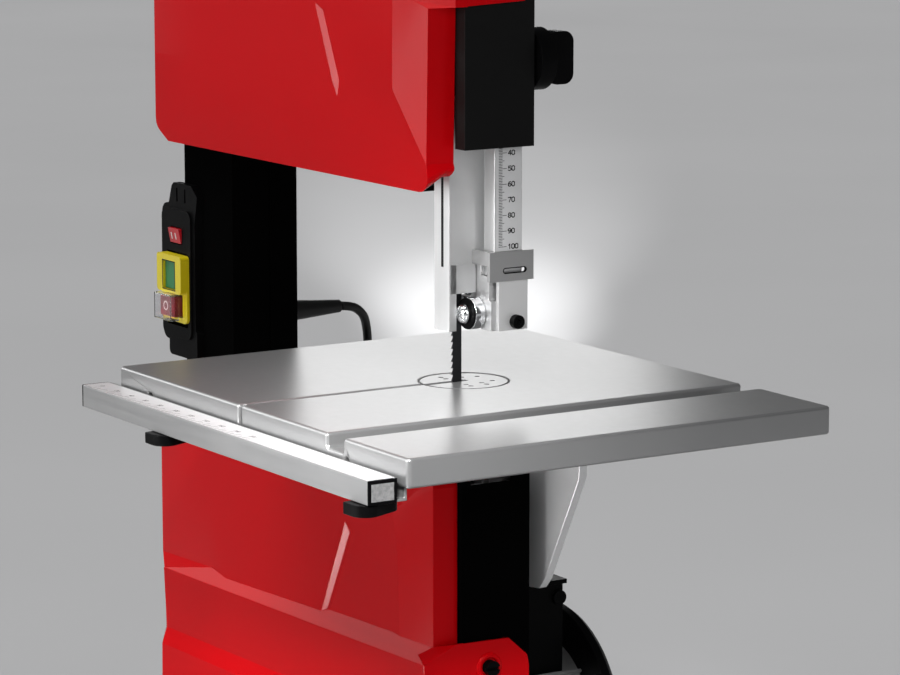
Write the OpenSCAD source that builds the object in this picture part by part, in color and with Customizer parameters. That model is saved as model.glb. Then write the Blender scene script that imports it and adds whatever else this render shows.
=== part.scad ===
// Bench band saw. Millimetres, Z up, X to the operator's right, Y away from the operator.
// The origin is the middle of the four bench bolts, in the plane of the bench.
// Most modules are drawn around the middle of the blade where it crosses the table: see at_blade().

/* [Overall] */
// Height of the table's surface above the bench
table_z = 400; // [390:1:410]
// Distance from the middle of the bench bolts to the blade, to the right
blade_x = 150; // [140:1:160]
// Distance from the middle of the bench bolts to the blade, to the back
blade_y = -5; // [-8:1:-2]

/* [Frame] */
// Clear width between the blade and the column
throat = 267; // [264:1:270]
// Width of the column from left to right
column_w = 70; // [66:1:74]
// Front plane of the wheel boxes and the column
frame_front = -16; // [-16:0.5:-15]
// Back plane of the wheel boxes and the column
frame_back = 36; // [36:1:40]
// Thickness of the frame's sheet steel
sheet_t = 3; // [2:0.5:3]
// Underside of the upper wheel box
upper_box_z = 153; // [150:1:156]
// Top of the upper wheel box
upper_top_z = 468; // [466:1:476]
// Right side of the upper wheel box
upper_box_x = 35.5; // [34:0.5:38]
// Top of the lower wheel box
lower_top_z = -57; // [-60:1:-57]
// Underside of the lower wheel box
lower_box_z = -372; // [-376:1:-370]
// Right side of the lower wheel box
lower_box_x = 31.8; // [31:0.2:33]
// Height of the rubber feet
foot_h = 8; // [6:1:10]
// Radius of the holes for the bench bolts
bench_hole_r = 4.5; // [4:0.25:5]
// Distance between bench bolts, left to right
bench_pitch_x = 340; // [330:5:345]
// Distance between bench bolts, front to back
bench_pitch_y = 150; // [140:5:155]

/* [Wheels and drive] */
// Diameter of the blade's path round both wheels
wheel_d = 290; // [286:1:292]
// Height of the upper wheel's axle over the table
upper_axle_z = 306; // [304:1:310]
// Height of the lower wheel's axle over the table
lower_axle_z = -212; // [-214:1:-210]
// Width of a wheel's rim
rim_w = 22; // [20:1:22]
// Thickness of a rubber tyre
tyre_t = 2.5; // [2:0.5:3]
// Width of the blade, teeth included
blade_w = 8; // [6:1:10]
// Thickness of the blade
blade_t = 0.5; // [0.5:0.1:0.6]
// Radius of the pulley on the lower wheel's shaft
wheel_pulley_r = 45; // [40:1:48]
// Radius of the motor's pulley
motor_pulley_r = 22; // [18:1:24]

/* [Table] */
// Width of the table
table_w = 362; // [350:1:370]
// Depth of the table from front to back
table_d = 308; // [300:1:315]
// Thickness of the table's rim
table_rim = 18; // [16:1:18]
// Thickness of the table's plate
table_plate = 8; // [6:0.5:9]
// Width of the mitre slot
mitre_w = 19.5; // [18:0.5:20]
// Diameter of the round table insert
insert_d = 57; // [55:1:60]

/* [Blade guide] */
// Width of the guide post
post_w = 12; // [11:0.5:12]
// Depth of the guide post
post_d = 21; // [20:0.5:21]
// Underside of the blade guard over the table
guard_z = 34; // [30:1:36]

/* [Mains lead] */
// Diameter of the mains lead
cord_d = 6.5; // [6:0.5:7]

/* [Hidden] */
$fn = 64;
gap = 0.3;               // working gap between pieces that move past each other
wheel_r = wheel_d / 2;
wheel_x = -wheel_r;      // both axles stand half a wheel to the left of the blade
column_right = -throat;
column_left = -throat - column_w;
box_left = column_left - 1;
wall_y = frame_back - sheet_t;
door_back = frame_front - gap;
hinge_x = -352;
hinge_y = -16.3;
pin_r = 2.5;
pin_bore_r = 2.55;
motor_x = -48;
motor_z = -246;
motor_bolt_r = 62;       // radius of the circle of motor bolts
post_x = 16;
post_y = 11;
post_lock_z = 207;
rest_z = -table_z;       // the bench, seen from the table's surface
plinth_top = lower_box_z;
plinth_bottom = rest_z + foot_h;
table_x0 = -163;
table_y0 = -159;
insert_x = 3;
insert_y = 4;
mitre_x = 107;
pivot_slot_r = 105;
tilt_lock_x = pivot_slot_r * cos(-138);
tilt_lock_z = pivot_slot_r * sin(-138);
table_corner_r = 3;
lower_latch_z = -182.6;
rail_y0 = -181;
rail_d = 20;
rail_top = -12;
rail_h = 14.6;
rail_x0 = -173;
rail_x1 = 190;
cord_exit = [-290, 84, 2];
coil_centre = [-262.5, 190];
coil_r_in = 26;
coil_r_out = 46;
coil_h = 13;
plug_tail = [-238, 232.5, 14];
cord_route = [
    [-290, 84, 2], [-290, 92, 2], [-292, 100, -1], [-295, 107, -7], [-299, 112, -16], [-302, 115, -28],
    [-304, 116, -44], [-305, 116, -110], [-305, 116, -180], [-305, 116, -250], [-305, 116, -310],
    [-305, 117, -352], [-305, 120, -368], [-305, 126, -381], [-305, 136, -391], [-305, 149, -396],
    [-305, 162, -396.7], [-305, 176, -396.7], [-305, 190, -396.7]
];

// ---------- helpers ----------
module at_blade() {
    translate([blade_x, blade_y, table_z]) children();
}
// a flat outline in X and Z, from y0 to y1
module slab_y(y0, y1) {
    translate([0, y1, 0]) rotate([90, 0, 0]) linear_extrude(y1 - y0) children();
}
// a flat outline in Y and Z, from x0 to x1
module slab_x(x0, x1) {
    translate([x0, 0, 0]) rotate([90, 0, 90]) linear_extrude(x1 - x0) children();
}
// a flat outline in X and Y, from z0 to z1
module slab_z(z0, z1) {
    translate([0, 0, z0]) linear_extrude(z1 - z0) children();
}
module block(lo, hi) {
    translate(lo) cube(hi - lo);
}
module rod_x(y, z, x0, x1, r) {
    translate([x0, y, z]) rotate([0, 90, 0]) cylinder(h = x1 - x0, r = r);
}
module rod_y(x, z, y0, y1, r) {
    translate([x, y1, z]) rotate([90, 0, 0]) cylinder(h = y1 - y0, r = r);
}
module rod_z(x, y, z0, z1, r) {
    translate([x, y, z0]) cylinder(h = z1 - z0, r = r);
}
// a rectangle with round corners, drawn exactly
module round_rect(x0, y0, x1, y1, r) {
    translate([x0 + r, y0]) square([x1 - x0 - 2 * r, y1 - y0]);
    translate([x0, y0 + r]) square([x1 - x0, y1 - y0 - 2 * r]);
    for (x = [x0 + r, x1 - r], y = [y0 + r, y1 - r]) translate([x, y]) circle(r);
}
// a slot with round ends along the first axis
module slot_2d(cx, cy, length, width) {
    translate([cx - length / 2 + width / 2, cy - width / 2]) square([length - width, width]);
    for (s = [-1, 1]) translate([cx + s * (length - width) / 2, cy]) circle(width / 2);
}
// a ring sector in a plane, angles in degrees counter-clockwise from +X
module ring_sector(r0, r1, a0, a1) {
    reach = 2 * r1;
    mid = (a0 + a1) / 2;
    intersection() {
        difference() {
            circle(r1);
            circle(r0);
        }
        polygon([[0, 0], reach * [cos(a0), sin(a0)], reach * [cos(mid), sin(mid)],
                 reach * [cos(a1), sin(a1)]]);
    }
}
module hex_head_y(x, z, y0, y1, across) {
    translate([x, y1, z]) rotate([90, 0, 0]) cylinder(h = y1 - y0, r = across / sqrt(3), $fn = 6);
}
// a knob with finger lobes, axis up, standing on z = 0
module lobed_knob(r, h, lobes, bore) {
    difference() {
        linear_extrude(h) {
            circle(r * 0.82);
            for (i = [0 : lobes - 1]) rotate(i * 360 / lobes) translate([r * 0.78, 0]) circle(r * 0.22);
        }
        translate([0, 0, -1]) cylinder(h = h + 2, r = bore);
    }
}

// ---------- frame ----------
module wheel_box(x1, z0, z1) {
    slab_y(wall_y, frame_back) round_rect(box_left, z0, x1, z1, 14);
    slab_y(frame_front, wall_y) difference() {
        round_rect(box_left, z0, x1, z1, 14);
        round_rect(box_left + sheet_t, z0 + sheet_t, x1 - sheet_t, z1 - sheet_t, 11);
    }
}
module upper_wheel_box() {
    color("#17181a") at_blade() tension_rails();
    color("#17181a") at_blade() difference() {
        union() {
            wheel_box(upper_box_x, upper_box_z, upper_top_z);
            // the square foot of the right wall, with its narrow front lip
            block([upper_box_x - 16, frame_front, upper_box_z], [upper_box_x, frame_back, upper_box_z + 16]);
            block([24, frame_front, upper_box_z], [upper_box_x, frame_front + 2, upper_top_z - 20]);
        }
        // way for the guide post, the guard and the blade
        block([-22, frame_front - 1, upper_box_z - 1], [24, wall_y, upper_box_z + 17]);
        block([23, frame_front + 2, upper_box_z - 1], [upper_box_x - sheet_t, wall_y, upper_box_z + 17]);
        // way for the blade's return run down the column
        block([column_left + 5, -12, upper_box_z - 1], [column_right - 5, 12, upper_box_z + 5]);
        rod_y(post_x + post_w / 2, post_lock_z, wall_y - 1, frame_back + 1, 4.3);
        rod_z(wheel_x, 27, upper_top_z - 10, upper_top_z + 1, 4.05);
        slab_y(wall_y - 1, frame_back + 1) translate([wheel_x, upper_axle_z - 18]) rotate(90)
            slot_2d(0, 0, 22, 11);
    }
}
module column() {
    color("#17181a") at_blade() difference() {
        block([column_left, frame_front, lower_top_z], [column_right, frame_back, upper_box_z]);
        block([column_left + sheet_t, frame_front + sheet_t, lower_top_z - 1],
              [column_right - sheet_t, wall_y, upper_box_z + 1]);
        // folded seam down each side
        block([column_right - 1, 13, lower_top_z - 1], [column_right + 1, 14.5, upper_box_z + 1]);
        rod_y(cord_exit[0], cord_exit[2], wall_y - 1, frame_back + 1, 6);
        for (z = [70, -10]) rod_y(-325, z, frame_front - 1, frame_front + 4, 2.05);
    }
}
module lower_wheel_box() {
    color("#17181a") at_blade() difference() {
        union() {
            wheel_box(lower_box_x, lower_box_z, lower_top_z);
            block([lower_box_x - 16, frame_front, lower_top_z - 16], [lower_box_x, frame_back, lower_top_z]);
            block([27, frame_front, lower_box_z + 14], [lower_box_x, frame_front + 2, lower_top_z]);
            for (x = [box_left, lower_box_x - 14])
                block([x, frame_front, lower_box_z], [x + 14, frame_back, lower_box_z + 14]);
        }
        block([10, frame_front + 2, lower_top_z - 17],
              [lower_box_x - sheet_t, wall_y, lower_top_z - sheet_t]);
        block([10, frame_front - 1, lower_top_z - 17], [27, frame_front + 3, lower_top_z - sheet_t]);
        // the blade's slot, open to the right so that a blade can be slid in
        block([-14, -9, lower_top_z - 4], [lower_box_x + 1, 23, lower_top_z + 1]);
        block([10, -9, lower_top_z - 6], [lower_box_x + 1, 23, lower_top_z + 1]);
        block([column_left + 5, -12, lower_top_z - 4], [column_right - 5, 12, lower_top_z + 1]);
        rod_y(wheel_x, lower_axle_z, wall_y - 1, frame_back + 1, 16);
        rod_y(motor_x, motor_z, wall_y - 1, frame_back + 1, 20);
        motor_bolt_points() rod_y(0, 0, wall_y - 1, frame_back + 1, 2.6);
        rod_y(-250, -330, wall_y - 1, frame_back + 1, 16);
    }
}
module plinth_outline(inset) {
    round_rect(-345 + inset, -97 + inset, 45 - inset, 107 - inset, 22 - inset);
}
module bench_hole_points() {
    for (x = [-1, 1], y = [-1, 1])
        translate([x * bench_pitch_x / 2 - blade_x, y * bench_pitch_y / 2 - blade_y, 0]) children();
}
module motor_bolt_points() {
    for (a = [45 : 90 : 315])
        translate([motor_x + motor_bolt_r * cos(a), 0, motor_z + motor_bolt_r * sin(a)]) children();
}
module base_plinth() {
    color("#17181a") at_blade() difference() {
        slab_z(plinth_bottom, plinth_top) plinth_outline(0);
        difference() {
            slab_z(plinth_bottom - 1, plinth_top - sheet_t) plinth_outline(sheet_t);
            bench_hole_points() rod_z(0, 0, plinth_bottom, plinth_top, 11);
        }
        bench_hole_points() rod_z(0, 0, plinth_bottom - 1, plinth_top + 1, bench_hole_r);
    }
}
module rubber_feet() {
    color("#202020") at_blade() bench_hole_points() difference() {
        rod_z(0, 0, rest_z, plinth_bottom, 20);
        rod_z(0, 0, rest_z - 1, plinth_bottom + 1, bench_hole_r);
    }
}
module frame_bolts() {
    color("silver") at_blade() {
        for (z = [upper_box_z + 22, lower_top_z - 22], x = [column_left + 14, column_right - 14])
            hex_head_y(x, z, frame_back, frame_back + 5, 10);
        for (x = [-330, 20]) translate([x, 50, plinth_top]) cylinder(h = 5, r = 10 / sqrt(3), $fn = 6);
        motor_bolt_points() {
            hex_head_y(0, 0, frame_back + 6, frame_back + 10, 7);
            rod_y(0, 0, wall_y - 4, frame_back + 6, 2.5);
        }
    }
}
module post_sleeve() {
    color("#8d9093") at_blade() difference() {
        block([12, 6, 183], [upper_box_x - sheet_t, wall_y, 245]);
        block([post_x - gap, post_y - gap, 182], [post_x + post_w + gap, wall_y + 1, 246]);
    }
}
module door_hinges() {
    color("#2a2b2d") at_blade() for (z = [200, 420, -100, -340]) {
        rod_z(hinge_x, hinge_y, z, z + 14, 4.5);
        block([hinge_x, -15.6, z], [box_left, -12.6, z + 14]);
        rod_z(hinge_x, hinge_y, z, z + 31, pin_r);
        rod_z(hinge_x, hinge_y, z - 1.5, z, 4);
    }
}
// ---------- upper wheel, its carriage and adjusters ----------
// guide rails for the tension carriage, welded inside the upper wheel box
module tension_rails() {
    for (s = [-1, 1]) translate([wheel_x, 0, upper_axle_z]) {
        block([s * 32 - 4, 22, -62], [s * 32 + 4, wall_y, 62]);
        block([s * 29.5 - 4.5, 20, -62], [s * 29.5 + 4.5, 22, 62]);
    }
    // seat and guide pin of the tension spring
    block([wheel_x - 30, 22, upper_axle_z - 62], [wheel_x + 30, wall_y, upper_axle_z - 58]);
    rod_z(wheel_x, 27, upper_axle_z - 59, upper_axle_z - 41, 3.5);
}
module tension_carriage() {
    color("#9a9c9e") at_blade() difference() {
        union() {
            block([wheel_x - 27.7, 24.3, upper_axle_z - 38], [wheel_x + 27.7, 30.5, upper_axle_z + 38]);
            for (s = [-1, 1]) translate([wheel_x + s * 18.6, 0, upper_axle_z])
                block([-3.6, 13, -8], [3.6, 24.3, 8]);
            block([wheel_x - 8, 22.3, upper_axle_z + 26], [wheel_x + 8, 32, upper_axle_z + 38]);
            block([wheel_x - 8, 22.3, upper_axle_z - 38], [wheel_x + 8, 32, upper_axle_z - 30]);
        }
        rod_x(17, upper_axle_z, wheel_x - 24, wheel_x + 24, 3.05);
        rod_z(wheel_x, 27, upper_axle_z - 40, upper_axle_z + 40, 4.05);
        slab_y(20, 34) translate([wheel_x, upper_axle_z - 18]) circle(4.3);
    }
}
module axle_block() {
    color("#b9bbbd") at_blade() {
        difference() {
            block([wheel_x - 14, 14, upper_axle_z - 23], [wheel_x + 14, 23, upper_axle_z + 23]);
            block([wheel_x - 4.6, 22, upper_axle_z - 24], [wheel_x + 4.6, 24, upper_axle_z + 24]);
        }
        rod_y(wheel_x, upper_axle_z, -13, 14, 7.5);
        rod_y(wheel_x, upper_axle_z, -15.5, -13, 6);
        for (s = [0, 1]) mirror([s, 0, 0]) translate([s * 2 * -wheel_x, 0, 0])
            rod_x(17, upper_axle_z, wheel_x + 14, wheel_x + 22, 3);
    }
}
module wheel(axle_z, bore) {
    rim_r = wheel_r - blade_t / 2 - gap - tyre_t;
    difference() {
        union() {
            translate([wheel_x, 0, axle_z]) rotate([90, 0, 0]) rotate_extrude($fn = 96) {
                translate([rim_r - 7, -rim_w / 2]) square([7, rim_w]);
                translate([bore, -rim_w / 2]) square([18 - bore, rim_w]);
            }
            difference() {
                rod_y(wheel_x, axle_z, -3, 3, rim_r - 6);
                for (a = [0 : 60 : 300]) rod_y(wheel_x + 72 * cos(a), axle_z + 72 * sin(a), -4, 4, 27);
                rod_y(wheel_x, axle_z, -4, 4, 17);
            }
        }
        rod_y(wheel_x, axle_z, -20, 20, bore);
    }
}
module tyre(axle_z) {
    rim_r = wheel_r - blade_t / 2 - gap - tyre_t;
    translate([wheel_x, 0, axle_z]) rotate([90, 0, 0]) rotate_extrude($fn = 96)
        translate([rim_r, -10]) square([tyre_t, 20]);
}
module upper_wheel() {
    color("#a8abad") at_blade() wheel(upper_axle_z, 7.55);
}
module upper_tyre() {
    color("#1b1b1b") at_blade() tyre(upper_axle_z);
}
module tension_knob() {
    color("#1c1d1f") at_blade() {
        translate([wheel_x, 27, upper_top_z + 2]) lobed_knob(22, 20, 6, 3);
        rod_z(wheel_x, 27, upper_top_z + gap, upper_top_z + 2, 9);
        rod_z(wheel_x, 27, upper_axle_z + 8, upper_top_z + 22, 4);
    }
}
module tension_spring() {
    turns = 5;
    top = upper_axle_z - 38.4;
    bottom = upper_axle_z - 57.6;
    color("#777a7d") at_blade() for (i = [0 : turns - 1])
        translate([wheel_x, 27, bottom + 0.9 + i * (top - bottom - 1.8) / (turns - 1)])
            rotate_extrude() translate([4.9, 0]) circle(0.9);
}
module tracking_knob() {
    color("#1c1d1f") at_blade() {
        translate([wheel_x, frame_back + 28, upper_axle_z - 18]) rotate([90, 0, 0]) lobed_knob(16, 16, 5, 3);
        rod_y(wheel_x, upper_axle_z - 18, 22.6, frame_back + 28, 4);
    }
}
// ---------- lower wheel, shaft and motor ----------
module lower_wheel() {
    color("#a8abad") at_blade() wheel(lower_axle_z, 8);
}
module lower_tyre() {
    color("#1b1b1b") at_blade() tyre(lower_axle_z);
}
module belt_pulley(x, z, r, bore) {
    translate([x, 19, z]) rotate([90, 0, 0]) rotate_extrude() {
        translate([bore, -4]) square([r - bore, 8]);
        for (s = [-5, 4]) translate([bore, s]) square([r + 2.5 - bore, 1]);
    }
}
module lower_shaft() {
    color("#9c9fa2") at_blade() {
        rod_y(wheel_x, lower_axle_z, -13, 62, 8);
        rod_y(wheel_x, lower_axle_z, -15.5, -13, 11);
        belt_pulley(wheel_x, lower_axle_z, wheel_pulley_r, 8);
    }
}
module bearing_housing() {
    color("#3a3c3f") at_blade() difference() {
        union() {
            rod_y(wheel_x, lower_axle_z, frame_back, frame_back + 6, 34);
            rod_y(wheel_x, lower_axle_z, frame_back, frame_back + 24, 21);
        }
        rod_y(wheel_x, lower_axle_z, frame_back - 1, frame_back + 30, 8.05);
    }
}
module belt_loop(grow) {
    a = [wheel_x, lower_axle_z];
    b = [motor_x, motor_z];
    dist = norm(b - a);
    dir = atan2(b[1] - a[1], b[0] - a[0]);
    ra = wheel_pulley_r + gap + grow;
    rb = motor_pulley_r + gap + grow;
    lean = acos((ra - rb) / dist);
    translate(a) circle(ra);
    translate(b) circle(rb);
    polygon([a + ra * [cos(dir + lean), sin(dir + lean)], b + rb * [cos(dir + lean), sin(dir + lean)],
             b + rb * [cos(dir - lean), sin(dir - lean)], a + ra * [cos(dir - lean), sin(dir - lean)]]);
}
module drive_belt() {
    color("#141414") at_blade() slab_y(15.3, 22.7) difference() {
        belt_loop(2);
        belt_loop(0);
    }
}
module motor_shaft() {
    color("#9c9fa2") at_blade() {
        rod_y(motor_x, motor_z, 12, 119, 7);
        belt_pulley(motor_x, motor_z, motor_pulley_r, 7);
        // cooling fan under its cover
        rod_y(motor_x, motor_z, 112, 118, 16);
        for (a = [0 : 45 : 315]) translate([motor_x, 0, motor_z]) rotate([0, a, 0])
            block([12, 112, -1], [56, 118, 1]);
    }
}
module motor_body() {
    color("#a9acae") at_blade() difference() {
        union() {
            rod_y(motor_x, motor_z, frame_back, frame_back + 6, 67);
            rod_y(motor_x, motor_z, frame_back + 1, 110, 52);
            // cooling fins, left out under the terminal box
            for (a = [-42 : 12 : 214]) translate([motor_x, 0, motor_z]) rotate([0, a, 0])
                block([50, frame_back + 3, -1], [57, 103, 1]);
        }
        rod_y(motor_x, motor_z, frame_back - 1, 111, 7.05);
        motor_bolt_points() rod_y(0, 0, frame_back - 1, frame_back + 7, 2.6);
    }
}
module motor_fan_cover() {
    color("#131415") at_blade() translate([motor_x, 122, motor_z]) rotate([90, 0, 0]) difference() {
        rotate_extrude($fn = 96) polygon([[0, 0], [52, 0], [66, 4], [73.5, 8], [76.5, 12], [76.5, 18], [52, 18],
            [52, 16], [74.5, 16], [74.5, 12.4], [71.8, 9.2], [65, 5.8], [51.5, 2], [0, 2]]);
        for (i = [-5 : 5]) translate([i * 10 - 2, -45 + abs(i) * 3, -1]) cube([4, 90 - abs(i) * 6, 5]);
    }
}
module terminal_box() {
    color("#131415") at_blade() {
        difference() {
            block([-76, 50, -212], [-12, 92, -148]);
            rod_y(motor_x, motor_z, 49, 93, 52);
        }
        rod_x(88, -157, -12, -9, 5);
        block([-78, 48, -148], [-10, 94, -145]);
        rod_z(-28, 80, -145, -139, 6);
    }
}
module dust_port() {
    color("#1c1d1f") at_blade() difference() {
        union() {
            rod_y(-250, -330, frame_back, frame_back + 40, 18);
            rod_y(-250, -330, frame_back, frame_back + 3, 26);
        }
        rod_y(-250, -330, frame_back - 1, frame_back + 41, 16);
    }
}
// ---------- blade ----------
module wheel_loop(r) {
    translate([wheel_x, upper_axle_z]) circle(r, $fn = 96);
    translate([wheel_x, lower_axle_z]) circle(r, $fn = 96);
    translate([wheel_x - r, lower_axle_z]) square([2 * r, upper_axle_z - lower_axle_z]);
}
module saw_blade() {
    tooth_pitch = 4.25;
    color("#8f9295") at_blade() {
        slab_y(-blade_w / 2 + 1.5, blade_w / 2) difference() {
            wheel_loop(wheel_r + blade_t / 2);
            wheel_loop(wheel_r - blade_t / 2);
        }
        // teeth, drawn on the straight cutting run
        slab_x(-blade_t / 2, blade_t / 2) for (z = [-200 : tooth_pitch : 296])
            polygon([[-blade_w / 2 + 1.5, z], [-blade_w / 2, z - 0.2], [-blade_w / 2 + 1.5, z + 3]]);
    }
}
// ---------- doors ----------
// A pressed door: a rim with round corners and a raised, chamfered middle, 3 mm thick.
module door_form(outline_z0, outline_z1, right, rim_y, top_y, plateau, t) {
    hull() {
        slab_y(rim_y + t, door_back + (t > 0 ? 1 : 0))
            round_rect(-346 + t, outline_z0 + t, right - t, outline_z1 - t, max(16 - t, 1), $fn = 32);
        slab_y(top_y + t, top_y + t + 0.5) polygon(plateau);
    }
}
module door_knuckles(zs) {
    for (z = zs) difference() {
        union() {
            rod_z(hinge_x, hinge_y, z + 14.5, z + 29, 4.5);
            block([hinge_x, -19.3, z + 14.5], [-346, -16.3, z + 29]);
        }
        rod_z(hinge_x, hinge_y, z, z + 40, pin_bore_r);
    }
}
// the door's return over the side of the wheel box
module door_wing(x, z0, z1) {
    block([x, door_back - 14, z0], [x + 3, 32, z1]);
    block([20, door_back - 14, z0], [x, door_back - 11, z1]);
}
module upper_door() {
    color("#c1121c") at_blade() {
        difference() {
            union() {
                door_form(126, upper_top_z - 2, 23.9, -36.6, -45,
                    [[-255, 180], [-90, 178], [-7, 190], [-7, 234], [-20, 440], [-255, 440], [-272, 188]],
                    0);
                door_wing(upper_box_x + 0.6, 246, upper_top_z - 12);
            }
            door_form(126, upper_top_z - 2, 23.9, -36.6, -45,
                [[-252, 183], [-90, 181], [-10, 193], [-10, 232], [-23, 437], [-252, 437], [-269, 191]], 3);
            rod_x(1, 270, 30, 45, 3.05);
        }
        door_knuckles([200, 420]);
    }
}
// the lower half of the lower door stands further out and reaches round the box
module door_bulge(t) {
    hull() {
        slab_y(-38 + t, door_back + (t > 0 ? 1 : 0))
            round_rect(-346 + t, lower_box_z + 4 + t, 35.2 - t, -172 - t, 14 - t, $fn = 32);
        slab_y(-47 + t, -46 + t) polygon([[-330, -350], [15, -350], [20, -190], [-330, -186]]);
    }
}
module lower_door() {
    color("#c1121c") at_blade() {
        difference() {
            union() {
                door_form(lower_box_z + 4, -58, 27.3, -34.7, -43,
                    [[-245, -340], [-10, -340], [0, -180], [0, -105], [-20, -80], [-245, -80]], 0);
                door_bulge(0);
                door_wing(lower_box_x + 0.4, lower_box_z + 12, -170);
            }
            door_form(lower_box_z + 4, -58, 27.3, -34.7, -43,
                [[-242, -337], [-13, -337], [-3, -183], [-3, -108], [-23, -83], [-242, -83]], 3);
            door_bulge(3);
            rod_x(2.8, lower_latch_z, 20, 45, 3.05);
        }
        door_knuckles([-100, -340]);
    }
}
module latch(x, y, z, head_r) {
    color("#1c1d1f") at_blade() {
        difference() {
            rod_x(y, z, x, x + 6, head_r);
            block([x + 4, y - head_r, z - 1.2], [x + 7, y + head_r, z + 1.2]);
        }
        rod_x(y, z, x - 3.2, x, 3);
    }
}
module upper_latch() {
    latch(upper_box_x + 3.6, 1, 270, 7);
}
module lower_latch() {
    latch(lower_box_x + 3.4, 2.8, lower_latch_z, 5);
}
// ---------- guide post and upper guides ----------
module guide_post() {
    color("#cfd1d2") at_blade() block([post_x, post_y, 70], [post_x + post_w, post_y + post_d, 330]);
}
module guide_bracket() {
    color("#9b9d9f") at_blade() {
        difference() {
            block([28, 5.6, 67], [31, 39, 86]);
            slab_x(27, 32) slot_2d(24.7, 73.7, 18, 3.8);
        }
        block([10, 5.6, 77], [28, 8.6, 86]);
        difference() {
            block([27.2, 13, 35], [30.2, 35, 67]);
            rod_x(25.4, 40.6, 27, 31, 2.55);
        }
    }
}
module guide_block() {
    color("#8a8c8e") at_blade() {
        block([3.2, 9, 54], [15.7, 16, 76.8]);
        block([15, 9, 54], [25, 16, 69.7]);
        rod_x(12.6, 62, -3.4, 3.2, 2.5);
        difference() {
            block([15, 9.2, 35], [27.2, 31, 54]);
            rod_x(25.4, 40.6, 21.5, 28, 2.55);
        }
    }
}
module roller_carrier() {
    color("#1c1d1f") at_blade() {
        slab_y(9.2, 15) round_rect(-16, 36, 15, 53.5, 5);
        for (s = [-11, 11]) {
            rod_y(s, 45, 1.4, 9.2, 2.5);
            rod_y(s, 45, -2.6, 1.4, 5.4);
        }
    }
}
module side_roller(x) {
    color("#b8babc") at_blade() difference() {
        rod_y(x, 45, 1.7, 8.9, 10.4);
        rod_y(x, 45, 1, 10, 2.55);
    }
}
module left_roller() {
    side_roller(-11);
}
module right_roller() {
    side_roller(11);
}
module thrust_roller() {
    color("#b8babc") at_blade() difference() {
        rod_x(12.6, 62, -2.6, 2.6, 8);
        rod_x(12.6, 62, -4, 4, 2.55);
    }
}
module guard_profile(y_right) {
    polygon([[-8, -11.5], [10, -11.5], [10, y_right], [9, y_right], [9, -10.5], [-8, -10.5]]);
}
module blade_guard() {
    color("#d8dadb") at_blade() {
        slab_z(77, 185) guard_profile(15);
        slab_z(guard_z, 77) guard_profile(-6);
    }
}
module guide_screws() {
    color("#1c1d1f") at_blade() {
        difference() {
            rod_x(25.4, 40.6, 30.2, 35.2, 4.4);
            rod_x(25.4, 40.6, 33, 36, 2.2, $fn = 6);
        }
        rod_x(25.4, 40.6, 22, 30.2, 2.5);
    }
}
module post_lock_knob() {
    x = post_x + post_w / 2;
    color("#131415") at_blade() {
        rod_y(x, post_lock_z, frame_back + 2, frame_back + 13.5, 20);
        rod_y(x, post_lock_z, 32.4, frame_back + 2, 4);
        rod_y(x, post_lock_z, frame_back + 13.5, frame_back + 20, 9);
        slab_x(x - 6, x + 6) round_rect(frame_back + 16, post_lock_z - 17, frame_back + 35,
            post_lock_z + 17, 7);
    }
}
// ---------- lower guides ----------
module lower_guide_block() {
    color("#8a8c8e") at_blade() {
        difference() {
            block([-20, 23.4, -96], [20, wall_y, -64]);
            block([-2.9, 23, -97], [2.9, 29, -63]);
        }
        for (s = [-1, 1]) {
            block([s * 6 - 2.4, -1, -92], [s * 6 + 2.4, 23.4, -84]);
            block([s * 2.2 - 1.7, -1, -92], [s * 2.2 + 1.7, 3.6, -84]);
        }
        rod_x(12.6, -74, -6, 6, 2.5);
        for (s = [-1, 1]) block([s * 5.4 - 1.6, 8, -78], [s * 5.4 + 1.6, 23.4, -70]);
    }
}
module lower_thrust_roller() {
    color("#b8babc") at_blade() difference() {
        rod_x(12.6, -74, -2.6, 2.6, 8);
        rod_x(12.6, -74, -4, 4, 2.55);
    }
}
// ---------- table ----------
module table_top() {
    x1 = table_x0 + table_w;
    y1 = table_y0 + table_d;
    color("#c7c9cb") at_blade() difference() {
        union() {
            slab_z(-table_plate, 0) round_rect(table_x0, table_y0, x1, y1, table_corner_r);
            slab_z(-table_rim, -table_plate) difference() {
                round_rect(table_x0, table_y0, x1, y1, table_corner_r);
                round_rect(table_x0 + 5, table_y0 + 5, x1 - 5, y1 - 5, 3);
            }
            // ribs, kept clear of the frame when the table tilts
            for (y = [-110, -60, 95])
                block([table_x0 + 4, y - 2, -table_rim + 2], [x1 - 4, y + 2, -table_plate]);
            block([mitre_x - 5, table_y0 + 4, -table_rim + 1],
                  [mitre_x + mitre_w + 5, y1 - 4, -table_plate]);
            rod_z(insert_x, insert_y, -12, -table_plate, insert_d / 2 + 4);
            block([-84, 42, -14], [68, 64, -table_plate]);
        }
        block([mitre_x, table_y0 - 1, -9], [mitre_x + mitre_w, y1 + 1, 1]);
        rod_z(insert_x, insert_y, -3, 1, insert_d / 2 + 0.2);
        rod_z(insert_x, insert_y, -table_rim, 1, insert_d / 2 - 5);
        block([-1, table_y0 - 1, -table_rim - 1], [1, insert_y - 20, 1]);
        block([-1.4, table_y0 - 1, -table_rim - 1], [1.4, table_y0 + 5, 1]);
        for (x = [-70, 54], y = [47, 60]) rod_z(x, y, -15, -6, 2.1);
        for (x = [rail_x0 + 53, 130]) rod_y(x, -14, table_y0 - 1, table_y0 + 6, 2.6);
    }
}
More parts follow.
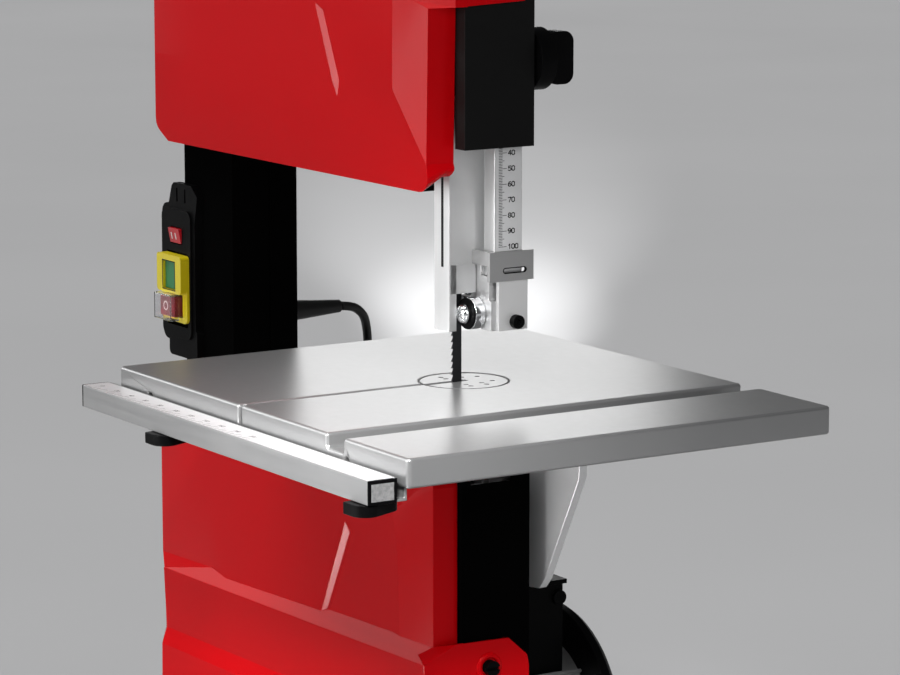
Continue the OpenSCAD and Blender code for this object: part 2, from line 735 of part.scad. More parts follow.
module table_insert() {
    color("#b5b7b9") at_blade() difference() {
        rod_z(insert_x, insert_y, -3, -0.2, insert_d / 2);
        slab_z(-4, 1) slot_turned();
        for (x = [-18, -12, 12, 18], y = [-6, 6]) rod_z(insert_x + x, insert_y + y, -4, 1, 1.8);
        for (x = [-9, 9]) rod_z(insert_x + x, insert_y + 16, -4, 1, 1.8);
    }
}
module slot_turned() {
    translate([-0.9, -26]) square([5, 33]);
}
module tilt_segment() {
    color("#9a9da0") at_blade() {
        slab_y(50, 56) difference() {
            intersection() {
                circle(pivot_slot_r + 36, $fn = 96);
                polygon([[-112, -20], [68, -20], [68, -58], [29, -132], [18, -144], [-70, -144],
                         [-120, -60]]);
            }
            ring_sector(pivot_slot_r - 4.3, pivot_slot_r + 4.3, -158, -90);
        }
        block([-84, 42, -20], [66, 64, -14]);
        for (x = [-60, 0, 50]) block([x - 3, 56, -50], [x + 3, 64, -20]);
    }
}
module tilt_saddle() {
    color("#3a3c3f") at_blade() difference() {
        union() {
            block([-110, frame_back, -104], [-58, 49.7, -38]);
            // guide pin of the tilting segment
            rod_y(pivot_slot_r * cos(-153), pivot_slot_r * sin(-153), 49, 58, 4);
        }
        rod_y(tilt_lock_x, tilt_lock_z, frame_back - 1, 60, 4.05);
    }
}
module tilt_lock_knob() {
    color("#1c1d1f") at_blade() {
        rod_y(tilt_lock_x, tilt_lock_z, 40, 57, 4);
        rod_y(tilt_lock_x, tilt_lock_z, 57, 60, 9);
        rod_y(tilt_lock_x, tilt_lock_z, 60, 74, 12);
        block([tilt_lock_x - 44, 66, tilt_lock_z - 6], [tilt_lock_x - 8, 74, tilt_lock_z + 6]);
    }
}
module rail_profile() {
    difference() {
        translate([rail_y0, rail_top - rail_h]) square([rail_d, rail_h]);
        translate([rail_y0 + 1.8, rail_top - rail_h + 1.8]) square([rail_d - 3.6, rail_h - 3.6]);
        translate([rail_y0 + 7, rail_top - rail_h - 1]) square([6, 4]);
    }
    translate([rail_y0 + rail_d, -26.6]) square([7, 2]);
    translate([rail_y0 + rail_d + 5, -26.6]) square([2, 8]);
}
module fence_rail() {
    color("#d4d6d8") at_blade() {
        slab_x(rail_x0, rail_x1) rail_profile();
        for (x = [rail_x0 + 53, 130]) block([x - 8, rail_y0 + rail_d, -22], [x + 8, table_y0, -13]);
    }
}
module rail_knob(x) {
    color("#232427") at_blade() {
        slab_z(-34, -26.9) hull() {
            translate([x + 1, rail_y0 + 4]) circle(9);
            translate([x - 5, rail_y0 + 20]) circle(8);
            translate([x - 9, rail_y0 - 5]) square(3);
        }
        rod_z(x, rail_y0 + 10, -34, -22, 2);
        rod_z(x, rail_y0 + 10, -24.4, -22, 5.5);
    }
}
module rail_knob_left() {
    rail_knob(-67);
}
module rail_knob_right() {
    rail_knob(180);
}
// ---------- switch ----------
module switch_housing() {
    color("#1b1c1e") at_blade() difference() {
        union() {
            slab_y(-22, frame_front) {
                round_rect(-361, -21, -312, 78, 8);
                polygon([[-355, 66], [-346, 91], [-343, 93.5], [-317, 93.5], [-308, 86], [-312, 66]]);
                round_rect(-352, -32, -310, -10, 4);
            }
            slab_y(-24, -22) round_rect(-358, -18, -315, 75, 7);
        }
        for (x = [-338, -326]) block([x - 1, -25, 80], [x + 1, -20, 90]);
        block([-350.2, -25, -9.2], [-319.8, -17, 44.2]);
        block([-344.2, -25, 49.8], [-327.8, -18, 62.2]);
        rod_x(-20, 56, -345.6, -326.4, 1.25);
    }
}
module switch_bezel() {
    color("#f2c811") at_blade() difference() {
        union() {
            slab_y(-31, -24) round_rect(-353, 15.5, -317, 43, 3);
            slab_y(-26, -24) round_rect(-353, -6, -317, 43, 4);
            block([-350, -24, -4], [-320, -17, 41]);
        }
        block([-344.3, -32, 17.7], [-325.7, -19, 38.3]);
        block([-346.3, -32, -2.3], [-323.7, -19, 14.3]);
    }
}
module start_button() {
    color("#1f9d4d") at_blade() block([-344, -29, 18], [-326, -23, 38]);
}
module stop_button() {
    color("#b3161b") at_blade() block([-346, -36, -2], [-324, -23, 14]);
}
module lamp_switch() {
    color("#d31f26") at_blade() {
        slab_x(-343.9, -328.1)
            polygon([[-20, 50.7], [-24.5, 50.7], [-25.5, 56], [-26.6, 61.3], [-20, 61.3]]);
        rod_x(-20, 56, -345.4, -326.6, 1.2);
    }
}
module work_lamp() {
    color("#222325") at_blade() {
        block([-60, -12, 120], [-26, 3, upper_box_z]);
    }
}
// ---------- mains lead ----------
module cord_gland() {
    color("#141414") at_blade() {
        rod_y(cord_exit[0], cord_exit[2], frame_back, frame_back + 8, 10);
        translate([cord_exit[0], frame_back + 8, cord_exit[2]]) rotate([-90, 0, 0])
            cylinder(h = cord_exit[1] - frame_back - 8, r1 = 7.5, r2 = 4.6);
    }
}
function unit(v) = v / norm(v);
// rings of points round a route, for one closed tube
function along(route, i) = unit(route[min(i + 1, len(route) - 1)] - route[max(i - 1, 0)]);
function side_of(d) = unit(cross(d, abs(d[0]) < 0.8 ? [1, 0, 0] : [0, 1, 0]));
function ring(c, d, r, n) = let (u = side_of(d), v = cross(d, u))
    [for (k = [0 : n - 1]) c + r * (cos(k * 360 / n) * u + sin(k * 360 / n) * v)];
function between(p0, p1, p2, p3, t) = 0.5 * (2 * p1 + (p2 - p0) * t
    + (2 * p0 - 5 * p1 + 4 * p2 - p3) * t * t + (3 * p1 - p0 - 3 * p2 + p3) * t * t * t);
function smooth(p, steps) = concat([for (i = [0 : len(p) - 2], s = [0 : steps[i] - 1])
    between(p[max(i - 1, 0)], p[i], p[i + 1], p[min(i + 2, len(p) - 1)], s / steps[i])], [p[len(p) - 1]]);
module tube(route, r, n) {
    last = len(route) - 1;
    points = [for (i = [0 : last]) each ring(route[i], along(route, i), r, n)];
    sides = [for (i = [0 : last - 1], k = [0 : n - 1])
        [i * n + k, i * n + (k + 1) % n, (i + 1) * n + (k + 1) % n, (i + 1) * n + k]];
    ends = [[for (k = [n - 1 : -1 : 0]) k], [for (k = [0 : n - 1]) last * n + k]];
    polyhedron(points, concat(ends, sides));
}
module power_cord() {
    steps = [for (i = [0 : len(cord_route) - 2]) norm(cord_route[i + 1] - cord_route[i]) > 40 ? 3 : 1];
    color("#161616") at_blade() tube(smooth(cord_route, steps), cord_d / 2, 8);
}
module cord_coil() {
    color("#161616") at_blade() translate([coil_centre[0], coil_centre[1], rest_z]) rotate_extrude()
        translate([coil_r_in, 0]) square([coil_r_out - coil_r_in, coil_h]);
}
module mains_plug() {
    color("#161616") at_blade() translate([plug_tail[0], plug_tail[1], rest_z]) {
        rod_x(0, plug_tail[2], 0, 14, 6);
        rod_x(0, plug_tail[2], 14, 40, 14);
        for (s = [-9.5, 9.5]) rod_x(s, plug_tail[2], 40, 59, 2.4);
    }
}

upper_wheel_box();
column();
lower_wheel_box();
base_plinth();
rubber_feet();
frame_bolts();
post_sleeve();
door_hinges();
tension_spring();
bearing_housing();
lower_guide_block();
motor_body();
motor_fan_cover();
terminal_box();
dust_port();
tilt_saddle();
switch_housing();
switch_bezel();
start_button();
stop_button();
lamp_switch();
work_lamp();
cord_gland();
power_cord();
cord_coil();
mains_plug();
saw_blade();
drive_belt();
upper_door();
upper_latch();
lower_door();
lower_latch();
tension_carriage();
axle_block();
upper_wheel();
upper_tyre();
tension_knob();
tracking_knob();
lower_wheel();
lower_tyre();
lower_shaft();
motor_shaft();
lower_thrust_roller();
guide_post();
guide_bracket();
guide_block();
roller_carrier();
blade_guard();
guide_screws();
left_roller();
right_roller();
thrust_roller();
post_lock_knob();
table_top();
table_insert();
tilt_segment();
tilt_lock_knob();
fence_rail();
rail_knob_left();
rail_knob_right();
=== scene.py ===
import math

import bmesh
import bpy
from mathutils import Matrix, Vector


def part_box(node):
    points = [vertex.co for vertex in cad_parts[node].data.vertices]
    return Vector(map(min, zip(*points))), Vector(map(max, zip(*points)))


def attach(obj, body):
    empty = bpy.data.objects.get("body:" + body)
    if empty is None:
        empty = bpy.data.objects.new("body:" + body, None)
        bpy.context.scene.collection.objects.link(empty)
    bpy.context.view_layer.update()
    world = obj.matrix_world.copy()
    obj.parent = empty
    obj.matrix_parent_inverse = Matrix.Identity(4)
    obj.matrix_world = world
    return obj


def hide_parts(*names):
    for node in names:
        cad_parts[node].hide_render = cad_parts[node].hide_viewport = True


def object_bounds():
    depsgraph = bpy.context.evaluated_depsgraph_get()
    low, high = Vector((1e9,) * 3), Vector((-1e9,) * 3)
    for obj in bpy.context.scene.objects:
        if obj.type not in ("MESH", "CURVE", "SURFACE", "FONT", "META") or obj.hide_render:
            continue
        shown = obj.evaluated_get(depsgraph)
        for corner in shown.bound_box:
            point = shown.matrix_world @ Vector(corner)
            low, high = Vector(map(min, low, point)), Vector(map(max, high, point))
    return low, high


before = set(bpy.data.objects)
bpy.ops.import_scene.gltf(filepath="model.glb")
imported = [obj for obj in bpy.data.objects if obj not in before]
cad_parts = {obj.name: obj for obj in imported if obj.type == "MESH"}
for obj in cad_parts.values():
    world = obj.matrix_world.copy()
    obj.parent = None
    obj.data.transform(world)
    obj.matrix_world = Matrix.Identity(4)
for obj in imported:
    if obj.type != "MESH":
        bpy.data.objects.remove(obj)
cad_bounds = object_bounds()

# ---------- the blade frame ----------
# Pieces are drawn in millimetres, like the CAD. Their origin is the blade where it crosses the
# table's top, and BLADE is that place in the shared frame.
MM = 0.001
BLADE_T = 0.5
blade_lo, blade_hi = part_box("saw_blade")
table_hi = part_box("table_top")[1]
BLADE = Vector((blade_hi.x - BLADE_T / 2 * MM, (blade_lo.y + blade_hi.y) / 2, table_hi.z))


def at(x, y, z):
    return BLADE + Vector((x, y, z)) * MM


# ---------- camera ----------
# The place is in blade-frame millimetres, the azimuth and pitch in degrees, the lens in mm.
CAMERA_PLACE = (1921, -1219, 414)
CAMERA_AZIMUTH = 57.70
CAMERA_PITCH = 9.63
CAMERA_LENS = 143.7

camera_data = bpy.data.cameras.new("camera")
camera_data.lens = CAMERA_LENS
camera_data.sensor_width = 36
camera_data.clip_end = 100
camera = bpy.data.objects.new("camera", camera_data)
camera.location = at(*CAMERA_PLACE)
camera.rotation_euler = (math.radians(90 - CAMERA_PITCH), 0, math.radians(CAMERA_AZIMUTH))
bpy.context.scene.collection.objects.link(camera)
bpy.context.scene.camera = camera


# ---------- materials ----------
class Shader:
    """A Principled material with helpers for colour, roughness and bump from noise.

    base and roughness are the flat values on the sockets, for a viewer that ignores the links.
    """

    def __init__(self, name, base, roughness, metallic=0.0, **sockets):
        self.material = bpy.data.materials.new(name)
        self.material.use_nodes = True
        self.nodes = self.material.node_tree.nodes
        self.links = self.material.node_tree.links
        self.bsdf = self.nodes["Principled BSDF"]
        self.bsdf.inputs["Base Color"].default_value = (*base, 1)
        self.bsdf.inputs["Roughness"].default_value = roughness
        self.bsdf.inputs["Metallic"].default_value = metallic
        for socket, value in sockets.items():
            self.bsdf.inputs[socket.replace("_", " ")].default_value = value
        self.coordinates = self.nodes.new("ShaderNodeTexCoord")
        self.bump_before = None

    def noise(self, scale, detail, stretch=(1, 1, 1)):
        mapping = self.nodes.new("ShaderNodeMapping")
        mapping.inputs["Scale"].default_value = stretch
        self.links.new(self.coordinates.outputs["Object"], mapping.inputs["Vector"])
        noise = self.nodes.new("ShaderNodeTexNoise")
        noise.inputs["Scale"].default_value = scale
        noise.inputs["Detail"].default_value = detail
        self.links.new(mapping.outputs["Vector"], noise.inputs["Vector"])
        return noise.outputs["Fac"]

    def cells(self, scale):
        voronoi = self.nodes.new("ShaderNodeTexVoronoi")
        voronoi.inputs["Scale"].default_value = scale
        self.links.new(self.coordinates.outputs["Object"], voronoi.inputs["Vector"])
        return voronoi.outputs["Distance"]

    def spread(self, source, low, high, from_low=0.3, from_high=0.7):
        """Maps the source to low..high. Noise lies mostly between 0.3 and 0.7."""
        node = self.nodes.new("ShaderNodeMapRange")
        node.inputs["From Min"].default_value = from_low
        node.inputs["From Max"].default_value = from_high
        node.inputs["To Min"].default_value = low
        node.inputs["To Max"].default_value = high
        self.links.new(source, node.inputs["Value"])
        return node.outputs["Result"]

    def colours(self, source, stops):
        ramp = self.nodes.new("ShaderNodeValToRGB")
        ramp.color_ramp.elements[0].position = stops[0][0]
        ramp.color_ramp.elements[0].color = (*stops[0][1], 1)
        ramp.color_ramp.elements[1].position = stops[-1][0]
        ramp.color_ramp.elements[1].color = (*stops[-1][1], 1)
        for place, colour in stops[1:-1]:
            ramp.color_ramp.elements.new(place).color = (*colour, 1)
        self.links.new(source, ramp.inputs["Fac"])
        self.links.new(ramp.outputs["Color"], self.bsdf.inputs["Base Color"])
        return self

    def rough(self, source, low, high):
        self.links.new(self.spread(source, low, high), self.bsdf.inputs["Roughness"])
        return self

    def bump(self, source, strength, depth_mm):
        node = self.nodes.new("ShaderNodeBump")
        node.inputs["Strength"].default_value = strength
        node.inputs["Distance"].default_value = depth_mm * MM
        self.links.new(source, node.inputs["Height"])
        if self.bump_before:
            self.links.new(self.bump_before, node.inputs["Normal"])
        self.bump_before = node.outputs["Normal"]
        self.links.new(self.bump_before, self.bsdf.inputs["Normal"])
        return self


def red_paint():
    look = Shader("red_paint", (0.5, 0.002, 0.006), 0.3, Specular_IOR_Level=0.055)
    look.colours(look.noise(5, 4), [(0.35, (0.52, 0.0006, 0.003)), (0.65, (0.54, 0.0008, 0.0036))])
    look.rough(look.noise(40, 4), 0.235, 0.255)
    return look.bump(look.noise(1400, 2), 0.03, 0.02).material


def black_paint(name, tone, shine):
    look = Shader(name, (tone, tone, tone), 0.5, Specular_IOR_Level=shine)
    look.colours(look.noise(9, 5), [(0.3, (tone * 0.8,) * 3), (0.7, (tone * 1.2,) * 3)])
    look.rough(look.noise(70, 4), 0.42, 0.58)
    return look.bump(look.noise(1100, 3), 0.4, 0.06).bump(look.noise(300, 2), 0.2, 0.06).material


def black_plastic():
    look = Shader("black_plastic", (0.003, 0.003, 0.003), 0.4, Specular_IOR_Level=0.03)
    look.colours(look.noise(15, 4), [(0.3, (0.002, 0.002, 0.0022)), (0.7, (0.0036, 0.0036, 0.0038))])
    look.rough(look.noise(120, 3), 0.3, 0.46)
    return look.bump(look.cells(1500), 0.2, 0.04).material


def rubber():
    look = Shader("rubber", (0.014, 0.014, 0.014), 0.75, Specular_IOR_Level=0.25)
    look.colours(look.noise(30, 5), [(0.3, (0.006, 0.006, 0.006)), (0.7, (0.012, 0.012, 0.012))])
    look.rough(look.noise(90, 3), 0.65, 0.85)
    return look.bump(look.noise(700, 4), 0.4, 0.1).material


def cord_rubber():
    look = Shader("cord_rubber", (0.005, 0.005, 0.005), 0.45, Specular_IOR_Level=0.35)
    look.colours(look.noise(60, 3), [(0.3, (0.004, 0.004, 0.004)), (0.7, (0.008, 0.008, 0.008))])
    look.rough(look.noise(140, 3), 0.36, 0.52)
    return look.bump(look.noise(500, 3), 0.2, 0.05).material


def cast_aluminium(name, tone, rough, metallic):
    look = Shader(name, (tone, tone, tone), rough[0], metallic)
    look.colours(look.noise(14, 6), [(0.3, (tone * 0.97, tone * 0.975, tone * 0.98)),
                                     (0.7, (tone * 1.03, tone * 1.033, tone * 1.036))])
    return look.rough(look.noise(160, 4), *rough).material


def brushed(name, tone, rough, stretch, strength, metallic=1.0):
    """Metal with fine lines that run along the axis whose stretch is small."""
    look = Shader(name, (tone, tone, tone), rough[0], metallic)
    lines = look.noise(300, 4, stretch)
    look.colours(look.noise(25, 4), [(0.3, (tone * 0.95, tone * 0.955, tone * 0.96)),
                                     (0.7, (tone * 1.04,) * 3)])
    look.rough(lines, *rough)
    return look.bump(lines, strength, 0.02).material


def bracket_steel():
    """Light where the bracket's foot hangs under its clamp, and darker on the clamp."""
    look = Shader("bracket_steel", (0.4, 0.4, 0.4), 0.34, 0.6)
    split = look.nodes.new("ShaderNodeSeparateXYZ")
    look.links.new(look.coordinates.outputs["Object"], split.inputs["Vector"])
    step = at(0, 0, 67).z
    height = look.spread(split.outputs["Z"], 0, 1, step - 0.2 * MM, step + 0.2 * MM)
    look.colours(height, [(0.0, (0.72, 0.72, 0.72)), (1.0, (0.34, 0.34, 0.34))])
    return look.rough(look.noise(260, 3), 0.32, 0.38).material


def chrome():
    look = Shader("chrome", (0.82, 0.83, 0.85), 0.1, 1.0)
    look.colours(look.noise(40, 3), [(0.3, (0.78, 0.79, 0.81)), (0.7, (0.86, 0.87, 0.88))])
    look.rough(look.noise(400, 4), 0.07, 0.16)
    return look.bump(look.noise(900, 3), 0.05, 0.02).material


def cast_iron():
    look = Shader("cast_iron", (0.05, 0.052, 0.055), 0.55, 0.3)
    look.colours(look.noise(40, 5), [(0.3, (0.035, 0.037, 0.04)), (0.7, (0.07, 0.072, 0.075))])
    look.rough(look.noise(120, 4), 0.45, 0.65)
    return look.bump(look.noise(420, 5), 0.6, 0.15).material


def blade_steel():
    """Bright at the tips of the teeth, and darker towards the back."""
    look = Shader("blade_steel", (0.12, 0.12, 0.13), 0.34, 1.0)
    split = look.nodes.new("ShaderNodeSeparateXYZ")
    look.links.new(look.coordinates.outputs["Object"], split.inputs["Vector"])
    tooth_tip = blade_lo.y
    across = look.spread(split.outputs["Y"], 0, 1, tooth_tip, tooth_tip + 1.6 * MM)
    look.colours(across, [(0.0, (0.5, 0.5, 0.5)), (0.55, (0.2, 0.2, 0.21)),
                          (1.0, (0.07, 0.07, 0.075))])
    look.rough(look.noise(220, 5, (1, 1, 0.1)), 0.3, 0.45)
    return look.bump(look.noise(420, 3, (1, 1, 0.08)), 0.2, 0.02).material


def scale_plate():
    look = Shader("scale_plate", (0.6, 0.6, 0.6), 0.34, 0.2)
    look.colours(look.noise(40, 3), [(0.3, (0.6, 0.6, 0.605)), (0.7, (0.65, 0.65, 0.655))])
    return look.rough(look.noise(200, 3), 0.3, 0.4).material


def glossy_plastic(name, dark, light):
    look = Shader(name, light, 0.3, Specular_IOR_Level=0.5)
    look.colours(look.noise(50, 3), [(0.3, dark), (0.7, light)])
    look.rough(look.noise(200, 3), 0.3, 0.38)
    return look.bump(look.noise(900, 2), 0.02, 0.02).material


def clear_plastic():
    look = Shader("clear_plastic", (0.93, 0.94, 0.95), 0.05, Transmission_Weight=1.0, IOR=1.49)
    look.rough(look.noise(150, 3), 0.02, 0.09)
    return look.bump(look.noise(300, 2), 0.05, 0.02).material


# Flat marks: printed ink, and also painted shade in the joints, creases and slots that lie in shadow.
def ink(name, tone):
    look = Shader(name, (tone, tone, tone), 0.6, Specular_IOR_Level=0.1)
    look.colours(look.noise(400, 3), [(0.3, (tone * 0.8,) * 3), (0.7, (tone * 1.3,) * 3)])
    return look.rough(look.noise(600, 2), 0.5, 0.7).material


def label_white():
    look = Shader("label_white", (0.72, 0.72, 0.71), 0.4)
    look.colours(look.noise(120, 3), [(0.3, (0.66, 0.66, 0.65)), (0.7, (0.76, 0.76, 0.75))])
    return look.rough(look.noise(300, 3), 0.34, 0.48).bump(look.noise(500, 2), 0.05, 0.02).material


RED = red_paint()
BLACK = black_paint("black_paint", 0.0045, 0.1)
DEEP_BLACK = black_paint("column_paint", 0.0018, 0.0)
PLASTIC = black_plastic()
RUBBER = rubber()
CORD = cord_rubber()
TABLE = cast_aluminium("table_metal", 0.27, (0.29, 0.31), 0.6)
CAST = cast_aluminium("cast_aluminium", 0.5, (0.32, 0.46), 0.9)
PLATE = cast_aluminium("plate_metal", 0.78, (0.36, 0.42), 0.2)
RAIL = brushed("rail_metal", 0.27, (0.32, 0.38), (0.04, 1, 1), 0.03, 0.6)
STEEL = brushed("bright_steel", 0.7, (0.3, 0.34), (1, 1, 0.04), 0.03, 0.8)
BRACKET = bracket_steel()
ROLLED = brushed("machined_steel", 0.5, (0.3, 0.4), (1, 1, 0.15), 0.3)
CHROME = chrome()
IRON = cast_iron()
BLADE_STEEL = blade_steel()
YELLOW = glossy_plastic("yellow_plastic", (0.62, 0.5, 0.001), (0.68, 0.56, 0.002))
GREEN = glossy_plastic("green_plastic", (0.002, 0.12, 0.03), (0.004, 0.17, 0.045))
RED_PLASTIC = glossy_plastic("red_plastic", (0.4, 0.002, 0.008), (0.5, 0.003, 0.012))
DARK_RED = glossy_plastic("dark_red_plastic", (0.1, 0.002, 0.006), (0.14, 0.003, 0.008))
CLEAR = clear_plastic()
# These two serve print and a pale cap face, and also painted shade: the guard's crease, the bracket slot
# and the insert's joint.
INK_AND_SHADE = ink("ink", 0.006)
FAINT_INK_AND_SHADE = ink("faint_ink_and_shade", 0.16)
LABEL = label_white()
SCALE = scale_plate()


# ---------- mesh helpers ----------
class Build:
    """Collects faces in blade-frame millimetres and makes one piece of them."""

    def __init__(self):
        self.bm = bmesh.new()

    def face(self, points):
        self.bm.faces.new([self.bm.verts.new(p) for p in points])
        return self

    def box(self, lo, hi):
        corners = [(x, y, z) for x in (lo[0], hi[0]) for y in (lo[1], hi[1]) for z in (lo[2], hi[2])]
        v = [self.bm.verts.new(c) for c in corners]
        sides = ((0, 1, 3, 2), (4, 6, 7, 5), (0, 4, 5, 1), (2, 3, 7, 6), (0, 2, 6, 4), (1, 5, 7, 3))
        for side in sides:
            self.bm.faces.new([v[i] for i in side])
        return self

    def prism(self, axis, outline, lo, hi):
        """A closed outline pushed along an axis. X takes (y, z), Y takes (x, z), Z takes (x, y)."""
        place = {"X": lambda p, t: (t, p[0], p[1]), "Y": lambda p, t: (p[0], t, p[1]),
                 "Z": lambda p, t: (p[0], p[1], t)}[axis]
        low = [self.bm.verts.new(place(p, lo)) for p in outline]
        high = [self.bm.verts.new(place(p, hi)) for p in outline]
        n = len(outline)
        self.bm.faces.new(low)
        self.bm.faces.new(list(reversed(high)))
        for i in range(n):
            self.bm.faces.new((low[i], high[i], high[(i + 1) % n], low[(i + 1) % n]))
        return self

    def band(self, loops):
        """Closed loops of as many points each, joined one to the next and the last to the first."""
        rings = [[self.bm.verts.new(p) for p in loop] for loop in loops]
        n = len(rings[0])
        for near, far in zip(rings, rings[1:] + rings[:1]):
            for i in range(n):
                j = (i + 1) % n
                self.bm.faces.new((near[i], far[i], far[j], near[j]))
        return self

    def lathe(self, axis, centre, profile, segments):
        """A closed profile of (radius, distance along the axis) turned round the axis."""
        turn = {"X": lambda r, t, a: (t, centre[0] + r * math.cos(a), centre[1] + r * math.sin(a)),
                "Y": lambda r, t, a: (centre[0] + r * math.cos(a), t, centre[1] + r * math.sin(a)),
                "Z": lambda r, t, a: (centre[0] + r * math.cos(a), centre[1] + r * math.sin(a), t)}[axis]
        angles = [2 * math.pi * i / segments for i in range(segments)]
        rings = []
        for r, t in profile:
            spots = [turn(r, t, a) for a in angles] if r else [turn(0, t, 0)]
            rings.append([self.bm.verts.new(p) for p in spots])
        count = len(rings)
        closed = profile[0][0] > 0 or profile[-1][0] > 0
        for k in range(count if closed else count - 1):
            a, b = rings[k], rings[(k + 1) % count]
            for i in range(segments):
                j = (i + 1) % segments
                if len(a) == 1 and len(b) > 1:
                    self.bm.faces.new((a[0], b[i], b[j]))
                elif len(b) == 1 and len(a) > 1:
                    self.bm.faces.new((a[i], b[0], a[j]))
                elif len(a) > 1:
                    self.bm.faces.new((a[i], b[i], b[j], a[j]))
        return self

    def done(self, name, material, body, bevel, slot, segments=2, replaces=(), solid=0.0, angle=30):
        """Makes the piece. bevel is the width of its broken edges, and solid its sheet's thickness."""
        bmesh.ops.remove_doubles(self.bm, verts=self.bm.verts, dist=0.001)
        bmesh.ops.recalc_face_normals(self.bm, faces=self.bm.faces)
        mesh = bpy.data.meshes.new(name)
        self.bm.to_mesh(mesh)
        self.bm.free()
        mesh.transform(Matrix.Translation(BLADE) @ Matrix.Diagonal((MM, MM, MM, 1)))
        piece = bpy.data.objects.new(name, mesh)
        bpy.context.scene.collection.objects.link(piece)
        mesh.materials.append(material)
        mesh.shade_smooth()
        if solid:
            skin = piece.modifiers.new("skin", "SOLIDIFY")
            skin.thickness = solid * MM
            skin.offset = -1
            skin.use_even_offset = True
        finish_edges(piece, bevel, segments, angle)
        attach(piece, body)
        if replaces:
            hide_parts(*replaces)
        return piece


def finish_edges(piece, bevel, segments=2, angle=30, clamp=True):
    """Rounds the edges that are sharper than the angle, and shades flat faces as flat."""
    if bevel:
        edge = piece.modifiers.new("edges", "BEVEL")
        edge.width = bevel * MM
        edge.segments = segments
        edge.limit_method = "ANGLE"
        edge.angle_limit = math.radians(angle)
        edge.miter_outer = "MITER_ARC"
        edge.use_clamp_overlap = clamp
    normals = piece.modifiers.new("normals", "WEIGHTED_NORMAL")
    normals.weight = 80


def cad(node, material, bevel, segments=2, angle=30, clamp=True):
    """A CAD node keeps its mesh, and gets clean flat faces, broken edges and a finish."""
    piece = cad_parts[node]
    weld = piece.modifiers.new("weld", "WELD")
    weld.merge_threshold = 2e-6
    flat = piece.modifiers.new("flat", "DECIMATE")
    flat.decimate_type = "DISSOLVE"
    flat.angle_limit = math.radians(0.6)
    finish_edges(piece, bevel, segments, angle, clamp)
    for place in piece.material_slots:
        place.material = material


def arc(cx, cy, r, start, end, steps=8):
    return [(cx + r * math.cos(math.radians(start + (end - start) * i / steps)),
             cy + r * math.sin(math.radians(start + (end - start) * i / steps))) for i in range(steps + 1)]


# ---------- mains lead ----------
# It leaves the column's back, hangs down to the surface at REST_Z and is wound into a coil there.
# The last part of the outer turn lifts off to the plug.
CORD_D = 6.5
REST_Z = -400
EXIT = (-290, 84, 2)
ROUTE = [
    EXIT, (-290.2, 91, 1.2), (-292, 99, -1.2), (-295, 107, -7.4), (-299, 112, -16), (-302, 115, -28),
    (-304, 116, -44), (-305, 116, -110), (-305, 116, -180), (-305, 116, -250), (-305, 116, -310),
    (-305, 117, -352), (-305, 120, -368), (-305, 126, -381), (-305, 136, -391), (-305, 149, -396),
    (-305, 162, -396.7), (-305, 176, -396.7),
]
COIL_CENTRE = (-262.5, 190)
COIL_RADII = (42.6, 36.0, 29.4)
COIL_STEPS = 28
COIL_GAP = 0.05
INWARD_FROM = 0.7
TAIL_STEPS = 8
PLUG_X = COIL_CENTRE[0] + 24.5
PLUG_Y = COIL_CENTRE[1] + COIL_RADII[0] - 0.1
PLUG_Z = REST_Z + 14


def on_coil(radius, step, height):
    """The point of a turn after so many steps clockwise from its left side."""
    a = math.radians(180 - 360 * step / COIL_STEPS)
    return (COIL_CENTRE[0] + radius * math.cos(a), COIL_CENTRE[1] + radius * math.sin(a), height)


def coil_route():
    """Two layers of turns: inwards along the floor, then outwards on top of them."""
    floor_z = REST_Z + CORD_D / 2 + COIL_GAP
    layers = [(COIL_RADII, floor_z), (COIL_RADII[::-1], floor_z + CORD_D)]
    points = []
    for radii, height in layers:
        for turn, radius in enumerate(radii):
            last = turn + 1 == len(radii)
            climb = CORD_D if last and height == floor_z else 0
            change = 0 if last else radii[turn + 1] - radius
            for step in range(COIL_STEPS):
                ease = max(0.0, (step / COIL_STEPS - INWARD_FROM) / (1 - INWARD_FROM))
                ease = ease * ease * (3 - 2 * ease)
                points.append(on_coil(radius + change * ease, step, height + climb * ease))
    return points


def lead_points():
    top = REST_Z + 1.5 * CORD_D + COIL_GAP
    tail = [on_coil(COIL_RADII[0], step, top) for step in range(TAIL_STEPS)]
    tail += [(COIL_CENTRE[0] + 8, PLUG_Y, top + 0.2), (COIL_CENTRE[0] + 16, PLUG_Y, top + 1.6),
             (PLUG_X, PLUG_Y, PLUG_Z)]
    return ROUTE + coil_route() + tail


def smooth_line(points, step):
    """A Catmull-Rom line through the points, with a point at about every step."""
    p = [Vector(q) for q in points]
    line = []
    for i in range(len(p) - 1):
        a, b, c, d = p[max(i - 1, 0)], p[i], p[i + 1], p[min(i + 2, len(p) - 1)]
        n = max(1, round((c - b).length / step))
        for k in range(n):
            t = k / n
            line.append(0.5 * (2 * b + (c - a) * t + (2 * a - 5 * b + 4 * c - d) * t * t
                               + (3 * b - a - 3 * c + d) * t ** 3))
    return line + [p[-1]]


def tube(line, radius, sides=14):
    """A closed round tube along a line, without twist."""
    build = Build()
    angles = [2 * math.pi * k / sides for k in range(sides)]
    rings = []
    side = Vector((1, 0, 0))
    for i, p in enumerate(line):
        ahead = (line[min(i + 1, len(line) - 1)] - line[max(i - 1, 0)]).normalized()
        side = (side - ahead * side.dot(ahead)).normalized()
        up = ahead.cross(side)
        spots = [p + radius * (math.cos(a) * side + math.sin(a) * up) for a in angles]
        rings.append([build.bm.verts.new(spot) for spot in spots])
    for a, b in zip(rings, rings[1:]):
        for k in range(sides):
            build.bm.faces.new((a[k], a[(k + 1) % sides], b[(k + 1) % sides], b[k]))
    build.bm.faces.new(list(reversed(rings[0])))
    build.bm.faces.new(rings[-1])
    return build


